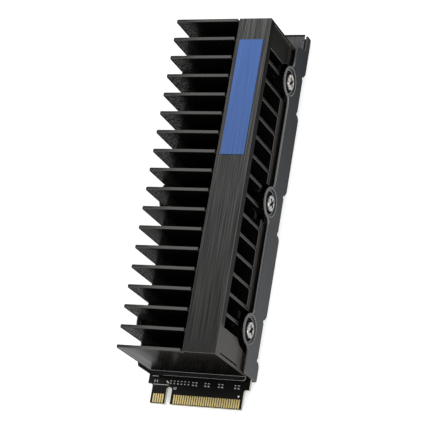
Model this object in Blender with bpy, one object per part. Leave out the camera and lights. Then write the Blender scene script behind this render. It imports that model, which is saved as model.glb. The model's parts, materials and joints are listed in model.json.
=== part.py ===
"""Gumstick solid state drive: an M.2 2280 module clamped between a finned heatsink and a folded tray.

Frame: X across the width, Y along the length from the gold contacts to the mounting notch, Z up.
The origin is the middle of the footprint, on the underside of the tray.
"""
from math import asin, cos, pi, sin, sqrt

import bmesh
import bpy

MM = 0.001

# Circuit board, to the card format's own drawing
BOARD_WIDTH = 22.0 * MM
BOARD_LENGTH = 80.0 * MM
BOARD_THICKNESS = 0.8 * MM
SHOULDER_WIDTH = 1.075 * MM
TONGUE_WIDTH = BOARD_WIDTH - 2 * SHOULDER_WIDTH
TONGUE_DEPTH = 4.0 * MM
TONGUE_ROOT_RADIUS = 0.5 * MM
KEY_WIDTH = 1.2 * MM
KEY_DEPTH = 3.5 * MM
SEAT_NOTCH_RADIUS = 1.75 * MM
SEAT_LAND_SETBACK = 0.15 * MM
SEAT_LAND_WIDTH = 0.85 * MM

# Gold contact lands of the tongue
CONTACT_PITCH = 0.5 * MM
CONTACT_WIDTH = 0.35 * MM
CONTACT_LENGTH = 1.85 * MM
CONTACT_SETBACK = 0.15 * MM
LAND_HEIGHT = 0.04 * MM
CONTACT_SIDE_MARGIN = 0.675 * MM
TOP_CONTACT_START_X = TONGUE_WIDTH / 2 - CONTACT_SIDE_MARGIN
BOTTOM_CONTACT_START_X = TOP_CONTACT_START_X - CONTACT_PITCH / 2
CONTACT_PLACES = 1 + round(2 * TOP_CONTACT_START_X / CONTACT_PITCH)
KEYED_PLACES = 4
PLACES_BEYOND_KEY = 5
LAST_KEYED_AWAY = CONTACT_PLACES - PLACES_BEYOND_KEY - 1
FIRST_KEYED_AWAY = LAST_KEYED_AWAY - KEYED_PLACES + 1
KEY_PLACE = (FIRST_KEYED_AWAY + LAST_KEYED_AWAY) / 2
KEY_CENTRE_X = (TOP_CONTACT_START_X + BOTTOM_CONTACT_START_X) / 2 - KEY_PLACE * CONTACT_PITCH

# Small soldered parts between the contacts and the heatsink, fused with the board
COUPLING_PAIRS = 4
COUPLING_SIDE_INSET = 1.525 * MM
COUPLING_ROW_GAP = 1.3 * MM
COUPLING_HALF_SPACING = 0.38 * MM
COUPLING_DISTANCE = 4.1 * MM
COUPLING_WIDTH = 0.5 * MM
COUPLING_LENGTH = 1.0 * MM
COUPLING_HEIGHT = 0.5 * MM
RESISTOR_COUNT = 7
RESISTOR_ROW_INSET = 2.725 * MM
RESISTOR_PITCH = 0.85 * MM
RESISTOR_DISTANCE = 4.35 * MM
RESISTOR_WIDTH = 0.3 * MM
RESISTOR_LENGTH = 0.6 * MM
RESISTOR_HEIGHT = 0.25 * MM
CORNER_RESISTOR_INSET = 1.2 * MM
CORNER_RESISTOR_DISTANCE = 4.9 * MM
CORNER_CAPACITOR_INSET = 1.9 * MM
CORNER_CAPACITOR_DISTANCE = 4.7 * MM

# Stack of the clamped pieces
BOND_GAP = 0.05 * MM
SOLDER_STANDOFF = 0.1 * MM
PACKAGE_HEIGHT = 0.85 * MM
INDUCTOR_DROP = 0.05 * MM
CRYSTAL_DROP = 0.15 * MM
TOP_PAD_THICKNESS = 0.4 * MM
BASE_PAD_THICKNESS = 0.7 * MM

# Heatsink
HEATSINK_SETBACK = 6.32 * MM
HEATSINK_FAR_MARGIN = 3.85 * MM
HEATSINK_SIDE_INSET = 0.5 * MM
HEATSINK_WIDTH = BOARD_WIDTH - 2 * HEATSINK_SIDE_INSET
HEATSINK_HEIGHT = 16.55 * MM
FIN_PITCH = 4.07 * MM
FIN_THICKNESS = 0.64 * MM
FIN_TIP_CHAMFER = 0.1 * MM
FIN_ROOT_RADIUS = 0.4 * MM
BASE_HEIGHT = 5.3 * MM
ROOF_WIDTH = 6.95 * MM
ROOF_THICKNESS = 2.0 * MM
ROOF_CHAMFER = 0.2 * MM
GROOVE_WIDTH = 0.45 * MM
GROOVE_DEPTH = 0.8 * MM
SIDE_SKIN = 1.0 * MM
PANEL_REACH = 5.8 * MM
PANEL_SLIT = 0.3 * MM
REBATE_HEIGHT = 3.8 * MM
REBATE_DEPTH = 0.4 * MM
POCKET_CLEARANCE = 0.15 * MM
POCKET_DEPTH = 1.6 * MM
BOSS_RADIUS = 2.2 * MM
BOSS_STAND = 0.25 * MM

# Screws that clamp the tray to the heatsink
SCREWS_PER_SIDE = 3
SCREW_END_MARGIN = 8.5 * MM
SCREW_RISE = 4.25 * MM
SCREW_HEAD_RADIUS = 1.75 * MM
SCREW_HEAD_HEIGHT = 0.55 * MM
SCREW_HEAD_ROUND = 0.15 * MM
SCREW_SHANK_RADIUS = 0.95 * MM
SCREW_SHANK_LENGTH = 3.6 * MM
SCREW_TIP_CHAMFER = 0.25 * MM
THREAD_GAP = 0.1 * MM
TAP_RUNOUT = 0.75 * MM
RECESS_LENGTH = 1.9 * MM
RECESS_WIDTH = 0.45 * MM
RECESS_DEPTH = 0.35 * MM

# Folded tray
SHEET = 0.4 * MM
TRAY_SIDE_CLEARANCE = 0.25 * MM
TRAY_LEAD = 0.17 * MM
TRAY_FAR_OVERHANG = 0.4 * MM
TRAY_BEND_RADIUS = 0.7 * MM
WALL_DROP = 0.65 * MM
WALL_CORNER_RADIUS = 0.8 * MM
LOW_RIM_RISE = 0.5 * MM
LOW_RIM_LENGTH = 3.5 * MM
RIM_SLOPE_LENGTH = 0.9 * MM
RIM_ROOT_RADIUS = 0.5 * MM
HEAD_CLEARANCE = 1.1 * MM
DISH_SLOPE_WIDTH = 0.5 * MM
EAR_MARGIN = 0.4 * MM
EAR_FILLET = 1.2 * MM
EAR_HOLE_CLEARANCE = 0.25 * MM
RELIEF_HALF_LENGTH = 5.05 * MM
RELIEF_SLANT = 0.9 * MM
RELIEF_HEIGHT = 1.65 * MM
RELIEF_REACH = 1.3 * MM
RELIEF_CORNER_RADIUS = 0.35 * MM
STANDOFF_CLEARANCE_RADIUS = 3.2 * MM

# Thermal pads
PAD_CORNER_RADIUS = 0.6 * MM
CONTROLLER_PAD_SIDE_MARGIN = 0.2 * MM
CONTROLLER_PAD_OVERHANG = 0.75 * MM
CONTROLLER_PAD_LENGTH = 26.5 * MM
PAD_JOINT = 0.8 * MM
MEMORY_PAD_SIDE_MARGIN = 0.2 * MM
MEMORY_PAD_END_MARGIN = 0.4 * MM
BASE_PAD_SIDE_MARGIN = 1.0 * MM
BASE_PAD_NEAR_MARGIN = 2.0 * MM
BASE_PAD_FAR_MARGIN = 0.5 * MM

# Label on the roof strip
LABEL_SIDE_MARGIN = 0.825 * MM
LABEL_LENGTH = 25.0 * MM
LABEL_THICKNESS = 0.1 * MM
LABEL_END_MARGIN = 4.3 * MM
LABEL_CORNER_RADIUS = 0.2 * MM

# Chips: one row along the board's middle, and a column of small parts at each side
PACKAGE_CORNER_RADIUS = 0.25 * MM
PACKAGE_EDGE_CHAMFER = 0.08 * MM
CHIP_ROW_DISTANCE = 9.5 * MM
CHIP_GAP = 2.0 * MM
CHIP_SIDE_GAP = 1.05 * MM
COLUMN_GAP = 1.0 * MM
CONTROLLER_LENGTH = 12.0 * MM
MEMORY_BUFFER_LENGTH = 8.0 * MM
FLASH_COUNT = 2
FLASH_WIDTH = 14.0 * MM
FLASH_END_MARGIN = 8.5 * MM
LEFT_COLUMN_INSET = 1.2 * MM
LEFT_COLUMN_DISTANCE = 10.5 * MM
CRYSTAL_WIDTH = 2.5 * MM
CRYSTAL_LENGTH = 2.0 * MM
CRYSTAL_FOOT_HEIGHT = 0.35 * MM
CRYSTAL_LID_INSET = 0.2 * MM
CRYSTAL_LID_CHAMFER = 0.07 * MM
CRYSTAL_GAP = 5.5 * MM
POWER_CHIP_WIDTH = 4.0 * MM
POWER_CHIP_LENGTH = 4.0 * MM
INDUCTOR_COUNT = 3
INDUCTOR_WIDTH = 2.5 * MM
INDUCTOR_LENGTH = 2.0 * MM
INDUCTOR_CAP_WIDTH = 0.5 * MM
INDUCTOR_WAIST = 0.06 * MM
RIGHT_COLUMN_INSET = 0.7 * MM
RIGHT_COLUMN_DISTANCE = 10.9 * MM
BULK_CAPACITOR_COUNT = 2
BULK_CAPACITOR_WIDTH = 1.6 * MM
BULK_CAPACITOR_LENGTH = 3.2 * MM
BOOT_MEMORY_GAP = 4.7 * MM
BOOT_MEMORY_WIDTH = 2.0 * MM
BOOT_MEMORY_LENGTH = 3.0 * MM

# Levels that follow from the stack
TRAY_FLOOR_Z = SHEET
BASE_PAD_Z = TRAY_FLOOR_Z + BOND_GAP
BOARD_BOTTOM_Z = BASE_PAD_Z + BASE_PAD_THICKNESS + BOND_GAP
BOARD_TOP_Z = BOARD_BOTTOM_Z + BOARD_THICKNESS
PACKAGE_Z = BOARD_TOP_Z + SOLDER_STANDOFF
TOP_PAD_Z = PACKAGE_Z + PACKAGE_HEIGHT + BOND_GAP
HEATSINK_Z = TOP_PAD_Z + TOP_PAD_THICKNESS + BOND_GAP
HEATSINK_TOP_Z = HEATSINK_Z + HEATSINK_HEIGHT
BASE_TOP_Z = HEATSINK_Z + BASE_HEIGHT
ROOF_UNDERSIDE_Z = HEATSINK_TOP_Z - ROOF_THICKNESS
SCREW_Z = HEATSINK_Z + SCREW_RISE
WALL_TOP_Z = SCREW_Z - WALL_DROP
LOW_RIM_Z = BOARD_TOP_Z + LOW_RIM_RISE

# Places along the length
OVERALL_LENGTH = BOARD_LENGTH + TRAY_FAR_OVERHANG
BOARD_START_Y = -OVERALL_LENGTH / 2
BOARD_END_Y = BOARD_START_Y + BOARD_LENGTH
TRAY_START_Y = BOARD_START_Y + HEATSINK_SETBACK - TRAY_LEAD
TRAY_END_Y = BOARD_END_Y + TRAY_FAR_OVERHANG
FIN_ROOM = BOARD_LENGTH - HEATSINK_SETBACK - HEATSINK_FAR_MARGIN - FIN_THICKNESS
FIN_COUNT = 1 + round(FIN_ROOM / FIN_PITCH)
HEATSINK_LENGTH = (FIN_COUNT - 1) * FIN_PITCH + FIN_THICKNESS
HEATSINK_START_Y = BOARD_START_Y + HEATSINK_SETBACK
HEATSINK_END_Y = HEATSINK_START_Y + HEATSINK_LENGTH
SCREW_PITCH = (HEATSINK_LENGTH - 2 * SCREW_END_MARGIN) / (SCREWS_PER_SIDE - 1)
FLASH_START_Y = BOARD_START_Y + CHIP_ROW_DISTANCE + CONTROLLER_LENGTH + MEMORY_BUFFER_LENGTH + 2 * CHIP_GAP
FLASH_ROOM = BOARD_END_Y - FLASH_END_MARGIN - FLASH_START_Y
FLASH_LENGTH = (FLASH_ROOM + CHIP_GAP) / FLASH_COUNT - CHIP_GAP

# Places across the width
TRAY_INNER_X = BOARD_WIDTH / 2 + TRAY_SIDE_CLEARANCE
TRAY_OUTER_X = TRAY_INNER_X + SHEET
HEATSINK_SIDE_X = HEATSINK_WIDTH / 2
ROOF_EDGE_X = HEATSINK_SIDE_X - ROOF_WIDTH
LEFT_COLUMN_X = LEFT_COLUMN_INSET + POWER_CHIP_WIDTH / 2 - BOARD_WIDTH / 2
RIGHT_COLUMN_X = BOARD_WIDTH / 2 - RIGHT_COLUMN_INSET - BOOT_MEMORY_WIDTH / 2
CONTROLLER_LOW_X = LEFT_COLUMN_X + POWER_CHIP_WIDTH / 2 + CHIP_SIDE_GAP
CONTROLLER_HIGH_X = RIGHT_COLUMN_X - BOOT_MEMORY_WIDTH / 2 - CHIP_SIDE_GAP
BOSS_FACE_X = HEATSINK_SIDE_X + BOSS_STAND
DISH_BACK_X = BOSS_FACE_X + BOND_GAP
DISH_FLOOR_X = DISH_BACK_X + SHEET
DISH_DEPTH = TRAY_OUTER_X - DISH_FLOOR_X
SCREW_SEAT_X = DISH_FLOOR_X + BOND_GAP
TAPPED_END_X = SCREW_SEAT_X - SCREW_SHANK_LENGTH - TAP_RUNOUT

# Radii about a screw, from its shank outwards
TAPPED_RADIUS = SCREW_SHANK_RADIUS + THREAD_GAP
EAR_HOLE_RADIUS = SCREW_SHANK_RADIUS + EAR_HOLE_CLEARANCE
DISH_FLOOR_RADIUS = SCREW_HEAD_RADIUS + HEAD_CLEARANCE
DISH_RIM_RADIUS = DISH_FLOOR_RADIUS + DISH_SLOPE_WIDTH
EAR_RADIUS = DISH_RIM_RADIUS + EAR_MARGIN
POCKET_RADIUS = EAR_RADIUS + POCKET_CLEARANCE

# A cutter reaches this far past the faces that it opens
OVERCUT = 1.0 * MM

ROUND_STEPS = 32
SCREW_STEPS = 20
FILLET_STEPS = 4


def clear_scene():
    for item in list(bpy.data.objects):
        bpy.data.objects.remove(item)


def make_material(name, colour, roughness, metallic=0.0):
    material = bpy.data.materials.new(name)
    material.use_nodes = True
    shader = material.node_tree.nodes["Principled BSDF"]
    shader.inputs["Base Color"].default_value = (*colour, 1.0)
    shader.inputs["Roughness"].default_value = roughness
    shader.inputs["Metallic"].default_value = metallic
    material.diffuse_color = (*colour, 1.0)
    return material


def add_rings(builder, rings):
    """Adds one closed body to a bmesh: loops of equal length, skinned in order and capped at both ends."""
    loops = [[builder.verts.new(point) for point in ring] for ring in rings]
    count = len(loops[0])
    for lower, upper in zip(loops, loops[1:]):
        for i in range(count):
            j = (i + 1) % count
            builder.faces.new((lower[i], lower[j], upper[j], upper[i]))
    builder.faces.new(reversed(loops[0]))
    builder.faces.new(loops[-1])


def make_solid(name, bodies):
    """An object whose mesh holds one or more closed bodies, each given as its rings."""
    builder = bmesh.new()
    for rings in bodies:
        add_rings(builder, rings)
    bmesh.ops.recalc_face_normals(builder, faces=builder.faces)
    mesh = bpy.data.meshes.new(name)
    builder.to_mesh(mesh)
    builder.free()
    solid = bpy.data.objects.new(name, mesh)
    bpy.context.scene.collection.objects.link(solid)
    return solid


def combine(target, tool, operation):
    """Boolean of two solids. The result stays in the target, and the tool is used up."""
    modifier = target.modifiers.new("Combine", "BOOLEAN")
    modifier.operation = operation
    modifier.object = tool
    graph = bpy.context.evaluated_depsgraph_get()
    shaped = bpy.data.meshes.new_from_object(target.evaluated_get(graph))
    target.modifiers.clear()
    target.data = shaped
    bpy.data.objects.remove(tool)


def cut(target, bodies):
    combine(target, make_solid("cutter", bodies), "DIFFERENCE")


def add(target, bodies):
    combine(target, make_solid("addition", bodies), "UNION")


def finish(solid, material, smooth=False):
    solid.data.materials.clear()
    solid.data.materials.append(material)
    for face in solid.data.polygons:
        face.material_index = 0
    if smooth:
        solid.data.shade_smooth()
        solid.data.set_sharp_from_angle(angle=pi / 6)


def arc(centre_u, centre_v, radius, start, end, steps):
    """Points of an arc from one angle to another, both ends included."""
    turns = [start + (end - start) * i / steps for i in range(steps + 1)]
    return [(centre_u + radius * cos(turn), centre_v + radius * sin(turn)) for turn in turns]


def circle(centre_u, centre_v, radius, steps=ROUND_STEPS):
    return arc(centre_u, centre_v, radius, 0.0, 2 * pi * (steps - 1) / steps, steps - 1)


def rectangle(low_u, high_u, low_v, high_v):
    return [(low_u, low_v), (high_u, low_v), (high_u, high_v), (low_u, high_v)]


def rounded_rectangle(low_u, high_u, low_v, high_v, radius, steps=FILLET_STEPS):
    corners = ((high_u, low_v, -1, 1, -pi / 2), (high_u, high_v, -1, -1, 0.0),
               (low_u, high_v, 1, -1, pi / 2), (low_u, low_v, 1, 1, pi))
    points = []
    for u, v, side_u, side_v, start in corners:
        points += arc(u + side_u * radius, v + side_v * radius, radius, start, start + pi / 2, steps)
    return points


def across(outline, low_x, high_x):
    """Rings of a prism along X from a (y, z) outline."""
    return [[(x, u, v) for u, v in outline] for x in (low_x, high_x)]


def along(outline, low_y, high_y):
    """Rings of a prism along Y from an (x, z) outline."""
    return [[(u, y, v) for u, v in outline] for y in (low_y, high_y)]


def upright(outline, low_z, high_z):
    """Rings of a prism along Z from an (x, y) outline."""
    return [[(u, v, z) for u, v in outline] for z in (low_z, high_z)]


def cone(centre_y, centre_z, places, steps=ROUND_STEPS):
    """Rings of a turned body along X from (x, radius) places."""
    return [[(x, u, v) for u, v in circle(centre_y, centre_z, radius, steps)] for x, radius in places]


def screw_places():
    return [HEATSINK_START_Y + SCREW_END_MARGIN + i * SCREW_PITCH for i in range(SCREWS_PER_SIDE)]


def gap_spans():
    """The gaps between neighbouring fins, as low and high y."""
    starts = [HEATSINK_START_Y + i * FIN_PITCH for i in range(FIN_COUNT)]
    return [(start + FIN_THICKNESS, following) for start, following in zip(starts, starts[1:])]


def window_spans():
    """What the two end panels leave open of each gap on the roofed side."""
    near = (HEATSINK_START_Y + FIN_THICKNESS + PANEL_SLIT, HEATSINK_START_Y + PANEL_REACH)
    far = (HEATSINK_END_Y - PANEL_REACH, HEATSINK_END_Y - FIN_THICKNESS - PANEL_SLIT)
    spans = gap_spans()
    for panel_low, panel_high in (near, far):
        pieces = []
        for low, high in spans:
            pieces += [(low, min(high, panel_low)), (max(low, panel_high), high)]
        spans = [(low, high) for low, high in pieces if high - low > PANEL_SLIT / 2]
    return spans


def gap_outline(low, high, top, flare):
    """Slot between two fins: round roots, and tips opened by a small chamfer where it runs out on top."""
    root = BASE_TOP_Z + FIN_ROOT_RADIUS
    outline = arc(low + FIN_ROOT_RADIUS, root, FIN_ROOT_RADIUS, pi, 1.5 * pi, FILLET_STEPS)
    outline += arc(high - FIN_ROOT_RADIUS, root, FIN_ROOT_RADIUS, 1.5 * pi, 2 * pi, FILLET_STEPS)
    if flare:
        rise = top + OVERCUT - HEATSINK_TOP_Z
        outline += [(high, HEATSINK_TOP_Z - flare), (high + flare + rise, HEATSINK_TOP_Z + rise)]
        outline += [(low - flare - rise, HEATSINK_TOP_Z + rise), (low, HEATSINK_TOP_Z - flare)]
    else:
        outline += [(high, top), (low, top)]
    return outline


def pocket_outline(centre_y):
    """Arch over a screw ear, open downwards."""
    foot = HEATSINK_Z - OVERCUT
    arch = arc(centre_y, SCREW_Z, POCKET_RADIUS, 0.0, pi, ROUND_STEPS // 2)
    return arch + [(centre_y - POCKET_RADIUS, foot), (centre_y + POCKET_RADIUS, foot)]


def heatsink_section():
    """Section of the blank across the width: the roof strip is parted from the fin tops by a groove."""
    side = HEATSINK_SIDE_X
    top = HEATSINK_TOP_Z
    chamfer = ROOF_CHAMFER
    groove_z = top - GROOVE_DEPTH
    return [(-side, HEATSINK_Z), (side, HEATSINK_Z), (side, top - chamfer), (side - chamfer, top),
            (ROOF_EDGE_X + chamfer, top), (ROOF_EDGE_X, top - chamfer), (ROOF_EDGE_X, groove_z),
            (ROOF_EDGE_X - GROOVE_WIDTH, groove_z), (ROOF_EDGE_X - GROOVE_WIDTH, top), (-side, top)]


def make_heatsink(material):
    blank = along(heatsink_section(), HEATSINK_START_Y, HEATSINK_END_Y)
    heatsink = make_solid("heatsink", [blank])
    parting_x = ROOF_EDGE_X - GROOVE_WIDTH / 2
    roofed_x = parting_x - GROOVE_WIDTH / 4
    inner_x = HEATSINK_SIDE_X - SIDE_SKIN
    outside_x = HEATSINK_SIDE_X + OVERCUT

    cut(heatsink, [across(gap_outline(low, high, HEATSINK_TOP_Z, FIN_TIP_CHAMFER), -outside_x, parting_x)
                   for low, high in gap_spans()])
    cut(heatsink, [across(gap_outline(low, high, ROOF_UNDERSIDE_Z, 0.0), roofed_x, inner_x)
                   for low, high in gap_spans()])
    window_x = inner_x - SIDE_SKIN / 4
    cut(heatsink, [across(rectangle(low, high, BASE_TOP_Z, ROOF_UNDERSIDE_Z), window_x, outside_x)
                   for low, high in window_spans()])

    rebate = rectangle(HEATSINK_START_Y + FIN_THICKNESS, HEATSINK_END_Y - FIN_THICKNESS,
                       HEATSINK_Z - OVERCUT, HEATSINK_Z + REBATE_HEIGHT)
    for side in (-1, 1):
        cut(heatsink, [across(rebate, side * (HEATSINK_SIDE_X - REBATE_DEPTH), side * outside_x)])
        cut(heatsink, [across(pocket_outline(y), side * (HEATSINK_SIDE_X - POCKET_DEPTH), side * outside_x)
                       for y in screw_places()])
        boss_root_x = TAPPED_END_X - TAP_RUNOUT / 2
        boss = [(side * boss_root_x, BOSS_RADIUS), (side * BOSS_FACE_X, BOSS_RADIUS)]
        add(heatsink, [cone(y, SCREW_Z, boss) for y in screw_places()])
        hole = [(side * TAPPED_END_X, TAPPED_RADIUS), (side * (BOSS_FACE_X + OVERCUT), TAPPED_RADIUS)]
        cut(heatsink, [cone(y, SCREW_Z, hole) for y in screw_places()])
    finish(heatsink, material, smooth=True)


def channel_section():
    """Section of the folded sheet: a flat floor, two bends and two upright walls."""
    outer, inner, bend = TRAY_OUTER_X, TRAY_INNER_X, TRAY_BEND_RADIUS
    top = SCREW_Z + EAR_RADIUS + OVERCUT
    outline = [(-outer, top)] + arc(bend - outer, bend, bend, pi, 1.5 * pi, FILLET_STEPS)
    outline += arc(outer - bend, bend, bend, 1.5 * pi, 2 * pi, FILLET_STEPS) + [(outer, top), (inner, top)]
    outline += arc(outer - bend, bend, bend - SHEET, 2 * pi, 1.5 * pi, FILLET_STEPS)
    outline += arc(bend - outer, bend, bend - SHEET, 1.5 * pi, pi, FILLET_STEPS)
    return outline + [(-inner, top)]


def ear_edge(centre_y):
    """Upper edge of one ear: a fillet up from the wall, the round ear, and a fillet down again."""
    fillet_z = WALL_TOP_Z + EAR_FILLET
    reach = EAR_RADIUS + EAR_FILLET
    offset = sqrt(reach ** 2 - (fillet_z - SCREW_Z) ** 2)
    lift = asin((fillet_z - SCREW_Z) / reach)
    rise = arc(centre_y - offset, fillet_z, EAR_FILLET, -pi / 2, -lift, FILLET_STEPS)
    crown = arc(centre_y, SCREW_Z, EAR_RADIUS, pi - lift, lift, ROUND_STEPS // 2)
    fall = arc(centre_y + offset, fillet_z, EAR_FILLET, pi + lift, 1.5 * pi, FILLET_STEPS)
    return rise + crown[1:-1] + fall


def wall_trim_outline():
    """What is trimmed off both walls, above the edge that runs from the contacts end to the low rim."""
    start, end = TRAY_START_Y, TRAY_END_Y
    ceiling = SCREW_Z + EAR_RADIUS + 2 * OVERCUT
    corner = WALL_CORNER_RADIUS
    edge = [(start - OVERCUT, WALL_TOP_Z - corner)]
    edge += arc(start + corner, WALL_TOP_Z - corner, corner, pi, pi / 2, FILLET_STEPS)
    for centre_y in screw_places():
        edge += ear_edge(centre_y)
    slope_foot_y = end - LOW_RIM_LENGTH
    root = RIM_ROOT_RADIUS
    edge += [(slope_foot_y - RIM_SLOPE_LENGTH, WALL_TOP_Z)]
    edge += arc(slope_foot_y + root, LOW_RIM_Z + root, root, pi, 1.5 * pi, FILLET_STEPS)
    edge += [(end + OVERCUT, LOW_RIM_Z)]
    return edge + [(end + OVERCUT, ceiling), (start - OVERCUT, ceiling)]


def relief_outline(centre_y):
    """Slot along the bend under an ear, with slanted ends."""
    foot, head = RELIEF_HALF_LENGTH, RELIEF_HALF_LENGTH - RELIEF_SLANT
    return [(centre_y - foot, -OVERCUT), (centre_y + foot, -OVERCUT), (centre_y + foot, 0.0),
            (centre_y + head, RELIEF_HEIGHT), (centre_y - head, RELIEF_HEIGHT), (centre_y - foot, 0.0)]


def relief_corners(centre_y):
    """Small round holes that end the slot's upper corners."""
    head = RELIEF_HALF_LENGTH - RELIEF_SLANT
    return [circle(centre_y + side * head, RELIEF_HEIGHT, RELIEF_CORNER_RADIUS, ROUND_STEPS // 4)
            for side in (-1, 1)]


def make_tray(material):
    tray = make_solid("tray", [along(channel_section(), TRAY_START_Y, TRAY_END_Y)])
    outside_x = TRAY_OUTER_X + OVERCUT
    cut(tray, [across(wall_trim_outline(), -outside_x, outside_x)])
    for side in (-1, 1):
        reach_x = side * (TRAY_OUTER_X - RELIEF_REACH)
        cut(tray, [across(relief_outline(y), reach_x, side * outside_x) for y in screw_places()])
        cut(tray, [across(outline, reach_x, side * outside_x)
                   for y in screw_places() for outline in relief_corners(y)])
        slope = (DISH_RIM_RADIUS - DISH_FLOOR_RADIUS) / DISH_DEPTH
        back_rim = DISH_RIM_RADIUS + slope * SHEET / 2
        back_floor = DISH_FLOOR_RADIUS + slope * SHEET / 2
        bulge = [(side * (TRAY_INNER_X + SHEET / 2), back_rim), (side * TRAY_INNER_X, back_rim),
                 (side * DISH_BACK_X, back_floor)]
        add(tray, [cone(y, SCREW_Z, bulge) for y in screw_places()])
        dish = [(side * DISH_FLOOR_X, DISH_FLOOR_RADIUS), (side * TRAY_OUTER_X, DISH_RIM_RADIUS),
                (side * outside_x, DISH_RIM_RADIUS + slope * OVERCUT)]
        cut(tray, [cone(y, SCREW_Z, dish) for y in screw_places()])
        hole = [(side * (DISH_BACK_X - OVERCUT), EAR_HOLE_RADIUS), (side * outside_x, EAR_HOLE_RADIUS)]
        cut(tray, [cone(y, SCREW_Z, hole) for y in screw_places()])
    cut(tray, [upright(circle(0.0, BOARD_END_Y, STANDOFF_CLEARANCE_RADIUS), -OVERCUT, SHEET + OVERCUT / 4)])
    finish(tray, material, smooth=True)


def board_outline():
    """Card outline: tongue with its key notch, square shoulders, and a half-round seat at the far end."""
    half, tongue = BOARD_WIDTH / 2, TONGUE_WIDTH / 2
    start, end = BOARD_START_Y, BOARD_END_Y
    shoulder = start + TONGUE_DEPTH
    root = TONGUE_ROOT_RADIUS
    key = KEY_WIDTH / 2
    outline = [(-tongue, start), (KEY_CENTRE_X - key, start)]
    outline += arc(KEY_CENTRE_X, start + KEY_DEPTH - key, key, pi, 0.0, 2 * FILLET_STEPS)
    outline += [(KEY_CENTRE_X + key, start), (tongue, start)]
    outline += arc(tongue + root, shoulder - root, root, pi, pi / 2, FILLET_STEPS)
    outline += [(half, shoulder), (half, end)]
    outline += arc(0.0, end, SEAT_NOTCH_RADIUS, 0.0, -pi, ROUND_STEPS // 2)
    outline += [(-half, end), (-half, shoulder)]
    outline += arc(-tongue - root, shoulder - root, root, pi / 2, 0.0, FILLET_STEPS)
    return outline


def contact_places(start_x):
    """Centres of one face's lands, without those that the key notch takes away."""
    places = [start_x - i * CONTACT_PITCH for i in range(CONTACT_PLACES)
              if not FIRST_KEYED_AWAY <= i <= LAST_KEYED_AWAY]
    return [x for x in places if abs(x) < (TONGUE_WIDTH - CONTACT_WIDTH) / 2]


def contact_outline(x):
    low_y = BOARD_START_Y + CONTACT_SETBACK
    return rectangle(x - CONTACT_WIDTH / 2, x + CONTACT_WIDTH / 2, low_y, low_y + CONTACT_LENGTH)


def seat_land_outline():
    """Bare half ring about the mounting notch, where the standoff and its screw press on the card."""
    inner = SEAT_NOTCH_RADIUS + SEAT_LAND_SETBACK
    outer = inner + SEAT_LAND_WIDTH
    outer_swing, inner_swing = asin(SEAT_LAND_SETBACK / outer), asin(SEAT_LAND_SETBACK / inner)
    outline = arc(0.0, BOARD_END_Y, outer, outer_swing - pi, -outer_swing, ROUND_STEPS // 2)
    return outline + arc(0.0, BOARD_END_Y, inner, -inner_swing, inner_swing - pi, ROUND_STEPS // 2)


def small_part_bodies(sink):
    """Rings of the small parts soldered before the heatsink, each sunk a little into the board."""
    capacitor = (COUPLING_WIDTH, COUPLING_LENGTH, COUPLING_HEIGHT)
    resistor = (RESISTOR_WIDTH, RESISTOR_LENGTH, RESISTOR_HEIGHT)
    row_x = RESISTOR_ROW_INSET - TONGUE_WIDTH / 2
    places = [(row_x + i * RESISTOR_PITCH, RESISTOR_DISTANCE, *resistor) for i in range(RESISTOR_COUNT)]
    first_pair_x = row_x + (RESISTOR_COUNT - 1) * RESISTOR_PITCH + COUPLING_ROW_GAP
    pair_pitch = (TONGUE_WIDTH / 2 - COUPLING_SIDE_INSET - first_pair_x) / (COUPLING_PAIRS - 1)
    places += [(first_pair_x + i * pair_pitch + side * COUPLING_HALF_SPACING, COUPLING_DISTANCE, *capacitor)
               for i in range(COUPLING_PAIRS) for side in (-1, 1)]
    places += [(CORNER_RESISTOR_INSET - BOARD_WIDTH / 2, CORNER_RESISTOR_DISTANCE, *resistor),
               (CORNER_CAPACITOR_INSET - BOARD_WIDTH / 2, CORNER_CAPACITOR_DISTANCE, *capacitor)]
    bodies = []
    for x, distance, width, length, height in places:
        y = BOARD_START_Y + distance
        outline = rectangle(x - width / 2, x + width / 2, y - length / 2, y + length / 2)
        bodies.append(upright(outline, BOARD_TOP_Z - sink, BOARD_TOP_Z + height))
    return bodies


def make_board(material):
    board = make_solid("board", [upright(board_outline(), BOARD_BOTTOM_Z, BOARD_TOP_Z)])
    sink = BOARD_THICKNESS / 4
    lands = [upright(contact_outline(x), BOARD_TOP_Z - sink, BOARD_TOP_Z + LAND_HEIGHT)
             for x in contact_places(TOP_CONTACT_START_X)]
    lands += [upright(contact_outline(x), BOARD_BOTTOM_Z - LAND_HEIGHT, BOARD_BOTTOM_Z + sink)
              for x in contact_places(BOTTOM_CONTACT_START_X)]
    lands += [upright(seat_land_outline(), BOARD_TOP_Z - sink, BOARD_TOP_Z + LAND_HEIGHT),
              upright(seat_land_outline(), BOARD_BOTTOM_Z - LAND_HEIGHT, BOARD_BOTTOM_Z + sink)]
    add(board, lands)
    add(board, small_part_bodies(sink))
    finish(board, material)


def package_ring(width, length, inset, z):
    outline = rounded_rectangle(inset - width / 2, width / 2 - inset, inset - length / 2, length / 2 - inset,
                                PACKAGE_CORNER_RADIUS)
    return [(u, v, z) for u, v in outline]


def make_package(name, middle_x, low_y, width, length, material):
    """Moulded chip package on its solder, with a chamfered top edge and its origin at its underside."""
    chamfer = PACKAGE_EDGE_CHAMFER
    levels = ((0.0, 0.0), (0.0, PACKAGE_HEIGHT - chamfer), (chamfer, PACKAGE_HEIGHT))
    package = make_solid(name, [[package_ring(width, length, inset, z) for inset, z in levels]])
    package.location = (middle_x, low_y + length / 2, PACKAGE_Z)
    finish(package, material)
    return low_y + length


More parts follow.
